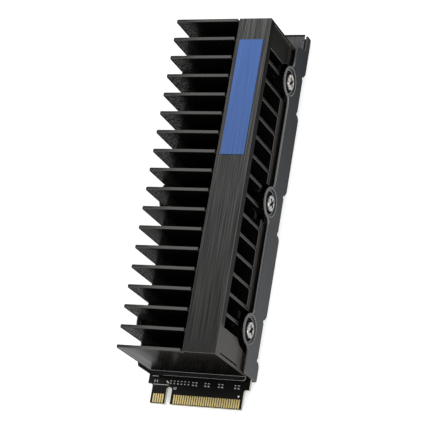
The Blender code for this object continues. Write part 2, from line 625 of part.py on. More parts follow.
def make_inductor(name, low_y, material):
    """Wound power inductor: a ferrite body between two wider end terminals."""
    length, waist = INDUCTOR_LENGTH, INDUCTOR_WAIST
    height = PACKAGE_HEIGHT - INDUCTOR_DROP
    end_x = INDUCTOR_WIDTH / 2
    cap_x = end_x - INDUCTOR_CAP_WIDTH

    def ring(x, inset):
        outline = rectangle(inset - length / 2, length / 2 - inset, inset, height - inset)
        return [(x, u, v) for u, v in outline]

    stations = ((-end_x, 0.0), (-cap_x, 0.0), (waist - cap_x, waist),
                (cap_x - waist, waist), (cap_x, 0.0), (end_x, 0.0))
    inductor = make_solid(name, [[ring(x, inset) for x, inset in stations]])
    inductor.location = (LEFT_COLUMN_X, low_y + length / 2, PACKAGE_Z)
    finish(inductor, material)
    return low_y + length


def make_crystal(low_y, material):
    """Quartz crystal: a ceramic foot with a narrower metal lid."""
    top = PACKAGE_HEIGHT - CRYSTAL_DROP
    inset, chamfer = CRYSTAL_LID_INSET, CRYSTAL_LID_CHAMFER
    levels = ((0.0, 0.0), (0.0, CRYSTAL_FOOT_HEIGHT), (inset, CRYSTAL_FOOT_HEIGHT), (inset, top - chamfer),
              (inset + chamfer, top))
    rings = [package_ring(CRYSTAL_WIDTH, CRYSTAL_LENGTH, step, z) for step, z in levels]
    crystal = make_solid("crystal", [rings])
    crystal.location = (LEFT_COLUMN_X, low_y + CRYSTAL_LENGTH / 2, PACKAGE_Z)
    finish(crystal, material)
    return low_y + CRYSTAL_LENGTH


def make_pad(name, outline, low_z, thickness, material):
    finish(make_solid(name, [upright(outline, low_z, low_z + thickness)]), material)


def notched_pad_outline(width, low_y, high_y):
    """Pad with a round cut-out about the mounting notch in its far edge."""
    radius = STANDOFF_CLEARANCE_RADIUS
    swing = asin((BOARD_END_Y - high_y) / radius)
    outline = [(-width / 2, low_y), (width / 2, low_y), (width / 2, high_y)]
    outline += arc(0.0, BOARD_END_Y, radius, -swing, swing - pi, ROUND_STEPS // 2)
    return outline + [(-width / 2, high_y)]


def make_pads(dark, grey):
    low = HEATSINK_START_Y - CONTROLLER_PAD_OVERHANG
    joint = low + CONTROLLER_PAD_LENGTH
    half = HEATSINK_SIDE_X - CONTROLLER_PAD_SIDE_MARGIN
    make_pad("controller_pad", rounded_rectangle(-half, half, low, joint, PAD_CORNER_RADIUS),
             TOP_PAD_Z, TOP_PAD_THICKNESS, dark)
    memory_end = BOARD_END_Y - MEMORY_PAD_END_MARGIN
    memory_width = BOARD_WIDTH - 2 * MEMORY_PAD_SIDE_MARGIN
    make_pad("memory_pad", notched_pad_outline(memory_width, joint + PAD_JOINT, memory_end),
             TOP_PAD_Z, TOP_PAD_THICKNESS, grey)
    half = BOARD_WIDTH / 2 - BASE_PAD_SIDE_MARGIN
    make_pad("base_pad", rounded_rectangle(-half, half, TRAY_START_Y + BASE_PAD_NEAR_MARGIN,
                                           HEATSINK_END_Y - BASE_PAD_FAR_MARGIN, PAD_CORNER_RADIUS),
             BASE_PAD_Z, BASE_PAD_THICKNESS, grey)


def make_label(material):
    middle_x = (ROOF_EDGE_X + HEATSINK_SIDE_X) / 2
    high_y = HEATSINK_END_Y - LABEL_END_MARGIN
    half = ROOF_WIDTH / 2 - LABEL_SIDE_MARGIN
    outline = rounded_rectangle(middle_x - half, middle_x + half,
                                high_y - LABEL_LENGTH, high_y, LABEL_CORNER_RADIUS)
    low_z = HEATSINK_TOP_Z + BOND_GAP
    finish(make_solid("label", [upright(outline, low_z, low_z + LABEL_THICKNESS)]), material)


def screw_mesh():
    """Pan head screw along +X with its head's seat at the origin and a cross recess in its head."""
    head, edge = SCREW_HEAD_HEIGHT, SCREW_HEAD_ROUND
    profile = [(-SCREW_SHANK_LENGTH, SCREW_SHANK_RADIUS - SCREW_TIP_CHAMFER),
               (SCREW_TIP_CHAMFER - SCREW_SHANK_LENGTH, SCREW_SHANK_RADIUS),
               (0.0, SCREW_SHANK_RADIUS), (0.0, SCREW_HEAD_RADIUS)]
    profile += [(head - edge + edge * sin(turn), SCREW_HEAD_RADIUS - edge + edge * cos(turn))
                for turn in (0.0, pi / 6, pi / 3, pi / 2)]
    screw = make_solid("screw_blank", [cone(0.0, 0.0, profile, SCREW_STEPS)])
    arm, half = RECESS_LENGTH / 2, RECESS_WIDTH / 2
    cross = []
    for u, v in ((1, 0), (0, 1), (-1, 0), (0, -1)):
        cross += [(arm * u + half * v, arm * v - half * u), (arm * u - half * v, arm * v + half * u)]
        cross += [(half * (u - v), half * (v + u))]
    cut(screw, [across(cross, head - RECESS_DEPTH, head + OVERCUT)])
    mesh = screw.data
    bpy.data.objects.remove(screw)
    return mesh


def make_screws(material):
    mesh = screw_mesh()
    mesh.name = "screw"
    mesh.materials.clear()
    mesh.materials.append(material)
    mesh.shade_smooth()
    mesh.set_sharp_from_angle(angle=pi / 6)
    for label, side in (("left", -1), ("right", 1)):
        for number, y in enumerate(screw_places(), 1):
            screw = bpy.data.objects.new(f"screw_{label}_{number}", mesh.copy())
            screw.location = (side * SCREW_SEAT_X, y, SCREW_Z)
            screw.rotation_euler = (0.0, 0.0, 0.0 if side > 0 else pi)
            bpy.context.scene.collection.objects.link(screw)


def make_chip_row(plastic):
    middle_x = (CONTROLLER_LOW_X + CONTROLLER_HIGH_X) / 2
    width = CONTROLLER_HIGH_X - CONTROLLER_LOW_X
    low_y = BOARD_START_Y + CHIP_ROW_DISTANCE
    end_y = make_package("controller", middle_x, low_y, width, CONTROLLER_LENGTH, plastic)
    make_package("memory_buffer", middle_x, end_y + CHIP_GAP, width, MEMORY_BUFFER_LENGTH, plastic)
    low_y = FLASH_START_Y
    for number in range(1, FLASH_COUNT + 1):
        end_y = make_package(f"flash_{number}", 0.0, low_y, FLASH_WIDTH, FLASH_LENGTH, plastic)
        low_y = end_y + CHIP_GAP


def make_side_columns(plastic):
    """Clock and power parts at the left side, bulk capacitors and the boot memory at the right."""
    ferrite = make_material("ferrite_grey", (0.12, 0.12, 0.125), 0.6)
    metal = make_material("crystal_lid", (0.65, 0.64, 0.6), 0.3, 1.0)
    tantalum = make_material("capacitor_tan", (0.42, 0.25, 0.1), 0.5)
    end_y = make_crystal(BOARD_START_Y + LEFT_COLUMN_DISTANCE, metal)
    end_y = make_package("power_chip", LEFT_COLUMN_X, end_y + CRYSTAL_GAP, POWER_CHIP_WIDTH,
                         POWER_CHIP_LENGTH, plastic)
    for number in range(1, INDUCTOR_COUNT + 1):
        end_y = make_inductor(f"inductor_{number}", end_y + COLUMN_GAP, ferrite)
    low_y = BOARD_START_Y + RIGHT_COLUMN_DISTANCE
    for number in range(1, BULK_CAPACITOR_COUNT + 1):
        end_y = make_package(f"bulk_capacitor_{number}", RIGHT_COLUMN_X, low_y, BULK_CAPACITOR_WIDTH,
                             BULK_CAPACITOR_LENGTH, tantalum)
        low_y = end_y + COLUMN_GAP
    make_package("boot_memory", RIGHT_COLUMN_X, end_y + BOOT_MEMORY_GAP, BOOT_MEMORY_WIDTH,
                 BOOT_MEMORY_LENGTH, plastic)


def main():
    clear_scene()
    black_anodised = make_material("black_anodised", (0.03, 0.029, 0.028), 0.42, 0.6)
    tray_black = make_material("tray_black", (0.045, 0.046, 0.05), 0.5, 0.5)
    plastic = make_material("chip_black", (0.018, 0.018, 0.019), 0.55)
    solder_mask = make_material("solder_mask", (0.01, 0.01, 0.012), 0.3)
    pad_dark = make_material("pad_dark", (0.02, 0.02, 0.021), 0.5)
    pad_grey = make_material("pad_grey", (0.14, 0.14, 0.145), 0.75)
    label_blue = make_material("label_blue", (0.07, 0.16, 0.43), 0.5)
    steel = make_material("screw_steel", (0.62, 0.6, 0.56), 0.3, 1.0)
    make_heatsink(black_anodised)
    make_tray(tray_black)
    make_board(solder_mask)
    make_chip_row(plastic)
    make_side_columns(plastic)
    make_pads(pad_dark, pad_grey)
    make_label(label_blue)
    make_screws(steel)


main()
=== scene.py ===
"""Dresses the gumstick solid state drive for a studio picture: heatsink, tray, card, pads, label and screws.

Frame, in metres: X across the drive, Y along it from the gold contacts to the mounting notch, Z up.
"""

import json
from functools import partial
from math import asin, cos, pi, radians, sin, sqrt

import bmesh
import bpy
from bpy.props import FloatProperty, FloatVectorProperty, IntProperty, PointerProperty
from mathutils import Matrix, Vector


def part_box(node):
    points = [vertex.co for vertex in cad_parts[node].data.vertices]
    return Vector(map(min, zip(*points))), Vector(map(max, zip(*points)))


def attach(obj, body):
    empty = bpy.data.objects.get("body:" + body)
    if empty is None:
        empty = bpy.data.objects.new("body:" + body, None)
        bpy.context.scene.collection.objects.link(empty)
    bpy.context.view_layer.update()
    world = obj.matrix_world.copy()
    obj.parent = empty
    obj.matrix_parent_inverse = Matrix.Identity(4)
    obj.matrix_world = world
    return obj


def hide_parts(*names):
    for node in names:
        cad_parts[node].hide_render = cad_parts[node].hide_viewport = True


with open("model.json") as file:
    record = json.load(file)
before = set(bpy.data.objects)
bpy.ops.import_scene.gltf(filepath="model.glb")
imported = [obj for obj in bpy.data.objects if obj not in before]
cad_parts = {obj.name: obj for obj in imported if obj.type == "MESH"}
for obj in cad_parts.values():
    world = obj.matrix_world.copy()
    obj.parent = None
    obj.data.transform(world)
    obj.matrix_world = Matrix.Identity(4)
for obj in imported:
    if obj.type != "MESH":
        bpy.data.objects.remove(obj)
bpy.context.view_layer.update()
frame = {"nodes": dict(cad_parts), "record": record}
SLOTS = {entry["node"]: entry["material_slot"] for entry in frame["record"]["subparts"]}

bl_info = {
    "name": "Gumstick Drive Dressing",
    "version": (1, 0, 0),
    "blender": (4, 5, 0),
    "location": "View3D > Sidebar > Drive",
    "description": "Builds the visible surfaces of a heatsinked solid state drive and its studio",
    "category": "Object",
}

BOARD_LOW, BOARD_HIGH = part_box("board")
HEATSINK_LOW, HEATSINK_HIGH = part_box("heatsink")
CARD_TOP = 0.002
CARD_BOTTOM = 0.0012
# Top of the painted highlight along the dark pad's lower front lip
LIP_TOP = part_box("controller_pad")[0].z + 0.00028
PAD_END = 0.04015
# Start of the painted shade along the grey pad's far rim
PAD_RIM = 0.03972

# Share of its normal along an axis from which a surface counts as facing it
SQUARE = 0.7

# Points closer than this are one
WELD = 0.000002


def length(name, description, default, low=0.0, high=0.2):
    return FloatProperty(name=name, description=description, default=default, min=low, max=high,
                         precision=5, subtype="DISTANCE", unit="LENGTH")


def place(name, description, default):
    return length(name, description, default, -0.2, 0.2)


def colour(name, description, default):
    return FloatVectorProperty(name=name, description=description, default=default, size=3, min=0.0, max=1.0,
                               subtype="COLOR")


class HeatsinkSizes(bpy.types.PropertyGroup):
    fins: IntProperty(name="Fins", description="Number of cross fins", default=18, min=2)
    pitch: length("Fin pitch", "From one fin to the next", 0.00407)
    thickness: length("Fin thickness", "Thickness of one fin", 0.00064)
    width: length("Width", "Over both sides of the block", 0.021)
    base_top: place("Base top", "Height of the gap floors", 0.00875)
    top: place("Top", "Height of the fin tips", 0.020)
    roof_width: length("Roof width", "Width of the flat strip over the fins", 0.00695)
    roof_thickness: length("Roof thickness", "Thickness of the flat strip", 0.002)
    groove_width: length("Groove width", "Between the strip and the open fin tips", 0.00045)
    groove_depth: length("Groove depth", "Between the strip and the open fin tips", 0.0008)
    skin: length("Side skin", "Thickness of the side wall that holds the windows", 0.001)
    root_radius: length("Root radius", "Fillet at the foot of each fin", 0.0004)
    panel_reach: length("Panel reach", "From the block's end to the far edge of each solid end panel", 0.0058)
    panel_slit: length("Panel slit", "Open slit between an end fin and its panel", 0.0003)
    rebate_height: length("Rebate height", "Height of the step along each side", 0.0038)
    rebate_depth: length("Rebate depth", "Depth of the step along each side", 0.0004)
    pocket_radius: length("Pocket radius", "Round pocket about each screw ear", 0.0039)
    pocket_depth: length("Pocket depth", "Depth of each round pocket", 0.0016)
    boss_radius: length("Boss radius", "Tapped boss in each pocket", 0.0022)
    corner_radius: length("Corner radius", "Round at the open end of each fin tip", 0.0005)
    edge: length("Edge break", "Width of the broken edges", 0.00009)


class ScrewSizes(bpy.types.PropertyGroup):
    per_side: IntProperty(name="Screws per side", description="Screws along each wall", default=3, min=1)
    first: place("First screw", "Place of the first screw along the drive", -0.02553)
    pitch: length("Screw pitch", "From one screw to the next", 0.026415)
    height: place("Axis height", "Height of the screws' axes", 0.0077)
    seat: length("Seat", "From the drive's middle to the underside of a head", 0.01125)
    head_radius: length("Head radius", "Radius of the pan head", 0.00162)
    head_height: length("Head height", "Height of the pan head", 0.00055)
    recess: length("Recess", "Tip to tip width of the cross recess", 0.0022)


class TraySizes(bpy.types.PropertyGroup):
    ear_radius: length("Ear radius", "Outline of each dished ear about its screw", 0.00322)
    blend_radius: length("Blend radius", "Where the ears' fillets have run out", 0.0058)
    far_foot: length("Far foot", "From a screw to its relief slot's far end at the floor", 0.0054)
    far_head: length("Far head", "From a screw to its relief slot's far end at the top", 0.0034)
    near_foot: length("Near foot", "From a screw to its relief slot's near end at the floor", 0.0060)
    near_head: length("Near head", "From a screw to its relief slot's near end at the top", 0.0046)
    slot_height: length("Slot height", "Height of the relief slots", 0.00165)
    plain_half: length("Plain half length", "Half length of a plain slot at the floor", 0.00505)
    plain_head: length("Plain half head", "Half length of a slot at its top before it is slanted", 0.00415)
    slot_reach: length("Slot reach", "From the drive's middle to a slot's inner end", 0.0103)
    edge: length("Edge break", "Width of the broken sheet edges", 0.00006)


class LabelSizes(bpy.types.PropertyGroup):
    near_margin: place("Near margin", "How far the label reaches nearer than its plain place", 0.0002)
    far_margin: place("Far margin", "How far the label stops short at its far end", 0.00045)
    right_margin: place("Right margin", "How far the label stops short at its right side", 0.00022)
    edge: length("Edge break", "Width of the rounded foil edges", 0.00003)


class CardSizes(bpy.types.PropertyGroup):
    contact_pitch: length("Contact pitch", "From one contact to the next", 0.0005)
    contact_width: length("Contact width", "Width of one contact", 0.00035)
    contact_length: length("Contact length", "Length of one contact", 0.00185)
    contact_setback: length("Contact setback", "From the card's edge to the contacts", 0.00015)
    contact_height: length("Contact height", "How far a contact stands over the card", 0.00004)
    first_contact: place("First contact", "Place across the card of the first upper contact", 0.00925)
    contacts: IntProperty(name="Contact places", description="Contact places in each row", default=38, min=1)
    keyed: IntProperty(name="Keyed places", description="Contact places in the key notch", default=4, min=0)
    beyond_key: IntProperty(name="Beyond the key", description="Places past the key notch", default=5, min=0)


class FinishColours(bpy.types.PropertyGroup):
    anodised: colour("Anodised metal", "Black anodised aluminium", (0.013, 0.0124, 0.0115))
    tray: colour("Tray paint", "Painted steel of the tray", (0.015, 0.0172, 0.0195))
    mask: colour("Solder mask", "Lacquer of the card", (0.0036, 0.0033, 0.0031))
    laminate: colour("Laminate", "Bare glass laminate at the card's edges", (0.42, 0.41, 0.33))
    gold: colour("Gold", "Plating of the contacts", (0.36, 0.285, 0.125))
    label: colour("Label", "Bare printed label", (0.052, 0.114, 0.318))
    steel: colour("Steel", "Screws", (0.60, 0.57, 0.54))
    floor: colour("Floor", "Studio floor", (0.80, 0.80, 0.80))


class StageSizes(bpy.types.PropertyGroup):
    lens: FloatProperty(name="Lens", description="Focal length of the camera in millimetres", default=146.81,
                        min=10.0)
    sky: FloatProperty(name="Sky", description="Strength of the even studio light", default=0.9, min=0.0)
    overhead: FloatProperty(name="Overhead", description="Power of the softbox above", default=1.0, min=0.0,
                            unit="POWER")
    table: FloatProperty(name="Light table", description="Glow of the pale floor", default=0.4, min=0.0)
    key: FloatProperty(name="Key", description="Power of the broad light beside the drive",
                       default=4.5, min=0.0, unit="POWER")


# Node building


def link(tree, value, socket):
    """Joins an output to a socket, or sets the socket's own value."""
    if isinstance(value, bpy.types.NodeSocket):
        tree.links.new(value, socket)
    else:
        socket.default_value = value


def add_node(tree, kind, settings=None, **inputs):
    node = tree.nodes.new(kind)
    for name, value in (settings or {}).items():
        setattr(node, name, value)
    for name, value in inputs.items():
        key = int(name[1:]) if name[0] == "i" and name[1:].isdigit() else name.replace("_", " ")
        link(tree, value, node.inputs[key])
    return node


def shape_tree(name, sizes):
    """Empty Geometry Nodes tree with a geometry input, one for each named size, and a geometry output."""
    kinds = {int: "Int", float: "Float", tuple: "Vector", bpy.types.Object: "Object"}
    tree = bpy.data.node_groups.new(name, "GeometryNodeTree")
    tree.interface.new_socket("Geometry", in_out="INPUT", socket_type="NodeSocketGeometry")
    for label, value in sizes.items():
        tree.interface.new_socket(label, in_out="INPUT", socket_type=f"NodeSocket{kinds[type(value)]}")
    tree.interface.new_socket("Geometry", in_out="OUTPUT", socket_type="NodeSocketGeometry")
    return tree, tree.nodes.new("NodeGroupInput").outputs


def end_tree(tree, geometry, material):
    realized = add_node(tree, "GeometryNodeRealizeInstances", i0=geometry)
    painted = add_node(tree, "GeometryNodeSetMaterial", i0=realized.outputs[0], Material=material)
    output = tree.nodes.new("NodeGroupOutput")
    tree.links.new(painted.outputs[0], output.inputs[0])


def new_object(name, data):
    """An object that stands in the scene."""
    piece = bpy.data.objects.new(name, data)
    bpy.context.scene.collection.objects.link(piece)
    return piece


def new_mesh(name, builder):
    """The mesh that a builder holds, which it then lets go."""
    mesh = bpy.data.meshes.new(name)
    builder.to_mesh(mesh)
    builder.free()
    return mesh


def grow(name, mesh, tree, values):
    """An object whose mesh is what the tree makes of the given mesh and sizes."""
    piece = new_object(name, mesh)
    modifier = piece.modifiers.new(tree.name, "NODES")
    modifier.node_group = tree
    for item in tree.interface.items_tree:
        if item.item_type == "SOCKET" and item.in_out == "INPUT" and item.name in values:
            modifier[item.identifier] = values[item.name]
    bake_modifiers(piece)
    return piece


def bake_modifiers(piece):
    graph = bpy.context.evaluated_depsgraph_get()
    plain = bpy.data.meshes.new_from_object(piece.evaluated_get(graph))
    piece.modifiers.clear()
    piece.data = plain
    plain.name = piece.name


def arithmetic(tree, operation, first, second=0.0):
    return add_node(tree, "ShaderNodeMath", {"operation": operation}, i0=first, i1=second).outputs[0]


def add(tree, first, second):
    return arithmetic(tree, "ADD", first, second)


def subtract(tree, first, second):
    return arithmetic(tree, "SUBTRACT", first, second)


def multiply(tree, first, second):
    return arithmetic(tree, "MULTIPLY", first, second)


def greater(tree, first, second):
    return arithmetic(tree, "GREATER_THAN", first, second)


def less(tree, first, second):
    return arithmetic(tree, "LESS_THAN", first, second)


def vector(tree, x=0.0, y=0.0, z=0.0):
    return add_node(tree, "ShaderNodeCombineXYZ", i0=x, i1=y, i2=z).outputs[0]


def bar(tree, size, centre, corner=None):
    """Closed bar along X whose section can have round corners, from its size and centre vectors."""
    parts = add_node(tree, "ShaderNodeSeparateXYZ", i0=size).outputs
    section = add_node(tree, "GeometryNodeCurvePrimitiveQuadrilateral",
                       Width=parts[1], Height=parts[2]).outputs[0]
    if corner is not None:
        section = add_node(tree, "GeometryNodeFilletCurve", {"mode": "POLY"}, Curve=section, Count=4,
                           Radius=corner).outputs[0]
    face = add_node(tree, "GeometryNodeFillCurve", {"mode": "NGONS"}, Curve=section).outputs[0]
    face = add_node(tree, "GeometryNodeTransform", Geometry=face,
                    Rotation=(radians(90.0), 0.0, radians(90.0))).outputs[0]
    pushed = add_node(tree, "GeometryNodeExtrudeMesh", {"mode": "FACES"}, Mesh=face, Offset=(1.0, 0.0, 0.0),
                      Offset_Scale=parts[0], Individual=False).outputs[0]
    back = add_node(tree, "GeometryNodeFlipFaces", i0=face).outputs[0]
    joined = tree.nodes.new("GeometryNodeJoinGeometry")
    tree.links.new(back, joined.inputs[0])
    tree.links.new(pushed, joined.inputs[0])
    closed = add_node(tree, "GeometryNodeMergeByDistance",
                      Geometry=joined.outputs[0], Distance=0.000001).outputs[0]
    half = add_node(tree, "ShaderNodeVectorMath", {"operation": "SCALE"}, i0=vector(tree, parts[0]),
                    Scale=-0.5).outputs[0]
    offset = add_node(tree, "ShaderNodeVectorMath", {"operation": "ADD"}, i0=centre, i1=half).outputs[0]
    return add_node(tree, "GeometryNodeTransform", Geometry=closed, Translation=offset).outputs[0]


def row(tree, shape, count, pitch, start=(0.0, 0.0, 0.0)):
    """Copies of a shape at a pitch along Y, as real geometry."""
    line = add_node(tree, "GeometryNodeMeshLine", {"mode": "OFFSET", "count_mode": "TOTAL"}, Count=count,
                    Start_Location=start, Offset=vector(tree, 0.0, pitch, 0.0)).outputs[0]
    placed = add_node(tree, "GeometryNodeInstanceOnPoints", Points=line, Instance=shape).outputs[0]
    return add_node(tree, "GeometryNodeRealizeInstances", i0=placed).outputs[0]


def carve(tree, body, operation, *tools):
    node = tree.nodes.new("GeometryNodeMeshBoolean")
    node.operation = operation
    node.solver = "EXACT"
    if operation == "DIFFERENCE":
        tree.links.new(body, node.inputs["Mesh 1"])
    else:
        tree.links.new(body, node.inputs["Mesh 2"])
    for tool in tools:
        tree.links.new(tool, node.inputs["Mesh 2"])
    return node.outputs["Mesh"]


# Finishes


def effect_group(name, sockets, outputs):
    """Empty shader node group with named float inputs and outputs."""
    group = bpy.data.node_groups.new(name, "ShaderNodeTree")
    for label, default in sockets:
        socket = group.interface.new_socket(label, in_out="INPUT", socket_type="NodeSocketFloat")
        socket.default_value = default
    for label in outputs:
        group.interface.new_socket(label, in_out="OUTPUT", socket_type="NodeSocketFloat")
    return group, group.nodes.new("NodeGroupInput").outputs, group.nodes.new("NodeGroupOutput").inputs


def scaled(tree, place, across, along, axis):
    """Object coordinates squeezed along one axis, so that a noise on them draws lines along it."""
    parts = add_node(tree, "ShaderNodeSeparateXYZ", i0=place).outputs
    sizes = [across, across, across]
    sizes[axis] = along
    return vector(tree, *[multiply(tree, part, size) for part, size in zip(parts, sizes)])


def noise(tree, at, scale=1.0, detail=3.0, rough=0.5):
    return add_node(tree, "ShaderNodeTexNoise",
                    Vector=at, Scale=scale, Detail=detail, Roughness=rough).outputs[0]


def object_place(tree):
    return tree.nodes.new("ShaderNodeTexCoord").outputs["Object"]


def coordinates(tree):
    """Outputs with a point's place along X, Y and Z, in the drive's own frame."""
    return add_node(tree, "ShaderNodeSeparateXYZ", i0=object_place(tree)).outputs


def facing(tree, axis):
    """How squarely a surface faces along an axis of the drive, from 0 to 1."""
    normal = tree.nodes.new("ShaderNodeNewGeometry").outputs["Normal"]
    parts = add_node(tree, "ShaderNodeSeparateXYZ", i0=normal).outputs
    return arithmetic(tree, "ABSOLUTE", parts[axis])


def blend(tree, amount, first, second):
    node = add_node(tree, "ShaderNodeMix", {"data_type": "FLOAT"}, Factor=amount)
    link(tree, first, node.inputs[2])
    link(tree, second, node.inputs[3])
    return node.outputs[0]


def brushed_grain_group():
    """Brush lines along the drive on tops and sides, and up the end faces."""
    group, sizes, ends = effect_group("Brushed Grain", [("Lines per metre", 9000.0), ("Stretch", 0.008)],
                                      ["Grain", "Streak"])
    where = object_place(group)
    along = multiply(group, sizes[0], sizes[1])
    on_end = greater(group, facing(group, 1), SQUARE)
    for output, share in (("Grain", 1.0), ("Streak", 0.85)):
        fine = multiply(group, sizes[0], share)
        long = multiply(group, along, share)
        level = noise(group, scaled(group, where, fine, long, 1), detail=2.0)
        upright = noise(group, scaled(group, where, fine, long, 2), detail=2.0)
        group.links.new(blend(group, on_end, level, upright), ends[output])


def speckle_group():
    """Fine even texture of a sprayed, blasted or moulded surface, with broad soft clouds."""
    group, sizes, ends = effect_group("Fine Speckle",
                                      [("Grains per metre", 12000.0), ("Clouds per metre", 150.0)],
                                      ["Grain", "Cloud"])
    where = object_place(group)
    group.links.new(noise(group, where, sizes[0], 2.0, 0.6), ends["Grain"])
    group.links.new(noise(group, where, sizes[1], 3.0, 0.5), ends["Cloud"])


def finish(name):
    return bpy.data.materials[f"dressed_{name}"]


def finish_material(name, base, roughness, metallic=0.0, **values):
    """Material with its shader, whose own sockets hold what is the same all over."""
    material = bpy.data.materials.new(f"dressed_{name}")
    material.use_nodes = True
    tree = material.node_tree
    shader = tree.nodes["Principled BSDF"]
    values.update(Base_Color=(*base, 1.0), Roughness=roughness, Metallic=metallic)
    for label, value in values.items():
        shader.inputs[label.replace("_", " ")].default_value = value
    material.diffuse_color = (*base, 1.0)
    return tree, shader


def use_group(tree, name, **values):
    node = tree.nodes.new("ShaderNodeGroup")
    node.node_tree = bpy.data.node_groups[name]
    for label, value in values.items():
        link(tree, value, node.inputs[label.replace("_", " ")])
    return node.outputs


def remap(tree, value, low, high, first, last):
    """Maps the span from low to high to the span from first to last, and holds the ends beyond it."""
    return add_node(tree, "ShaderNodeMapRange", i0=value, i1=low, i2=high, i3=first, i4=last).outputs[0]


def tint(tree, value, dark, light):
    """Colour between two shades by a mask."""
    node = add_node(tree, "ShaderNodeMix", {"data_type": "RGBA"}, Factor=value)
    link(tree, (*dark, 1.0) if isinstance(dark, tuple) else dark, node.inputs[6])
    link(tree, (*light, 1.0) if isinstance(light, tuple) else light, node.inputs[7])
    return node.outputs[2]


def shade(base, share):
    return tuple(min(1.0, channel * share) for channel in base)


def bump(tree, shader, height, strength, distance):
    node = add_node(tree, "ShaderNodeBump", Height=height, Strength=strength, Distance=distance)
    tree.links.new(node.outputs[0], shader.inputs["Normal"])


def speckled(name, base, roughness, metallic=0.0, grains=12000.0, depth=0.00001):
    """Material with a fine even grain and a slight cloudiness."""
    variation, swing = 0.12, 0.04
    tree, shader = finish_material(name, base, roughness, metallic)
    masks = use_group(tree, "Fine Speckle", Grains_per_metre=grains)
    tree.links.new(tint(tree, masks["Cloud"], shade(base, 1 - variation), shade(base, 1 + variation)),
                   shader.inputs["Base Color"])
    tree.links.new(remap(tree, masks["Cloud"], 0.3, 0.7, roughness - swing, roughness + swing),
                   shader.inputs["Roughness"])
    bump(tree, shader, masks["Grain"], 0.5, depth)


def zones_group():
    """Masks of the drive's zones, such as end faces, flanks and fin tips, and the share of the way along."""
    group, sizes, ends = effect_group("Machined Zones",
                                      [("Start", -0.03388), ("End", 0.03595), ("Top", 0.020),
                                       ("Strip edge", 0.0033), ("Bottom", 0.00345)],
                                      ["End face", "Flank", "Tip", "Strip", "Side", "Along", "Left rim",
                                       "Outer form", "Foot", "Right half", "Across", "Near panel",
                                       "Roof side", "Below windows"])
    start, end, top, strip_edge, bottom = sizes[:5]
    tip_depth, crown_depth, roof_depth = 0.0004, 0.0021, 0.00205
    wall_x, foot_height, rail_height, end_share = 0.01035, 0.00032, 0.0054, 0.496
    x, y, z = coordinates(group)
    along = arithmetic(group, "DIVIDE", subtract(group, y, start), subtract(group, end, start))
    off_middle = arithmetic(group, "ABSOLUTE", subtract(group, along, 0.5))
    outer = greater(group, off_middle, end_share)
    upright = greater(group, facing(group, 1), SQUARE)
    high = greater(group, z, subtract(group, top, tip_depth))
    crest = multiply(group, high, greater(group, facing(group, 2), SQUARE))
    tip = multiply(group, crest, less(group, x, strip_edge))
    rim = remap(group, x, -0.0105, -0.0100, 1.0, 0.0)
    crown = multiply(group, greater(group, z, subtract(group, top, crown_depth)), subtract(group, 1.0, rim))
    form = arithmetic(group, "MAXIMUM", greater(group, x, wall_x), crown)
    # Fades that dim the painted light on the right half and on the rail below the windows toward the drive's
    # ends
    near_fade = remap(group, along, 0.06, 0.12, 0.4, 1.0)
    far_fade = remap(group, along, 0.93, 0.96, 1.0, 0.35)
    far_rail = remap(group, along, 0.86, 0.92, 1.0, 0.4)
    masks = {
        "End face": multiply(group, upright, outer),
        "Flank": multiply(group, upright, subtract(group, 1.0, outer)),
        "Tip": tip,
        "Strip": subtract(group, crest, tip),
        "Side": greater(group, facing(group, 0), SQUARE),
        "Along": add_node(group, "ShaderNodeClamp", i0=along).outputs[0],
        "Left rim": rim,
        "Outer form": arithmetic(group, "MAXIMUM", form, outer),
        "Foot": multiply(group, less(group, z, add(group, bottom, foot_height)), outer),
        "Right half": multiply(group, greater(group, x, 0.0), multiply(group, near_fade, far_fade)),
        "Across": remap(group, x, -0.0085, -0.004, 0.0, 1.0),
        "Near panel": remap(group, along, 0.075, 0.095, 1.0, 0.0),
        "Roof side": greater(group, z, subtract(group, top, roof_depth)),
        "Below windows": multiply(group, less(group, z, add(group, bottom, rail_height)), far_rail)}
    for name, mask in masks.items():
        group.links.new(mask, ends[name])


def layered(tree, ground, *layers):
    """One value over another wherever each mask allows it."""
    for mask, value in layers:
        ground = blend(tree, mask, ground, value)
    return ground


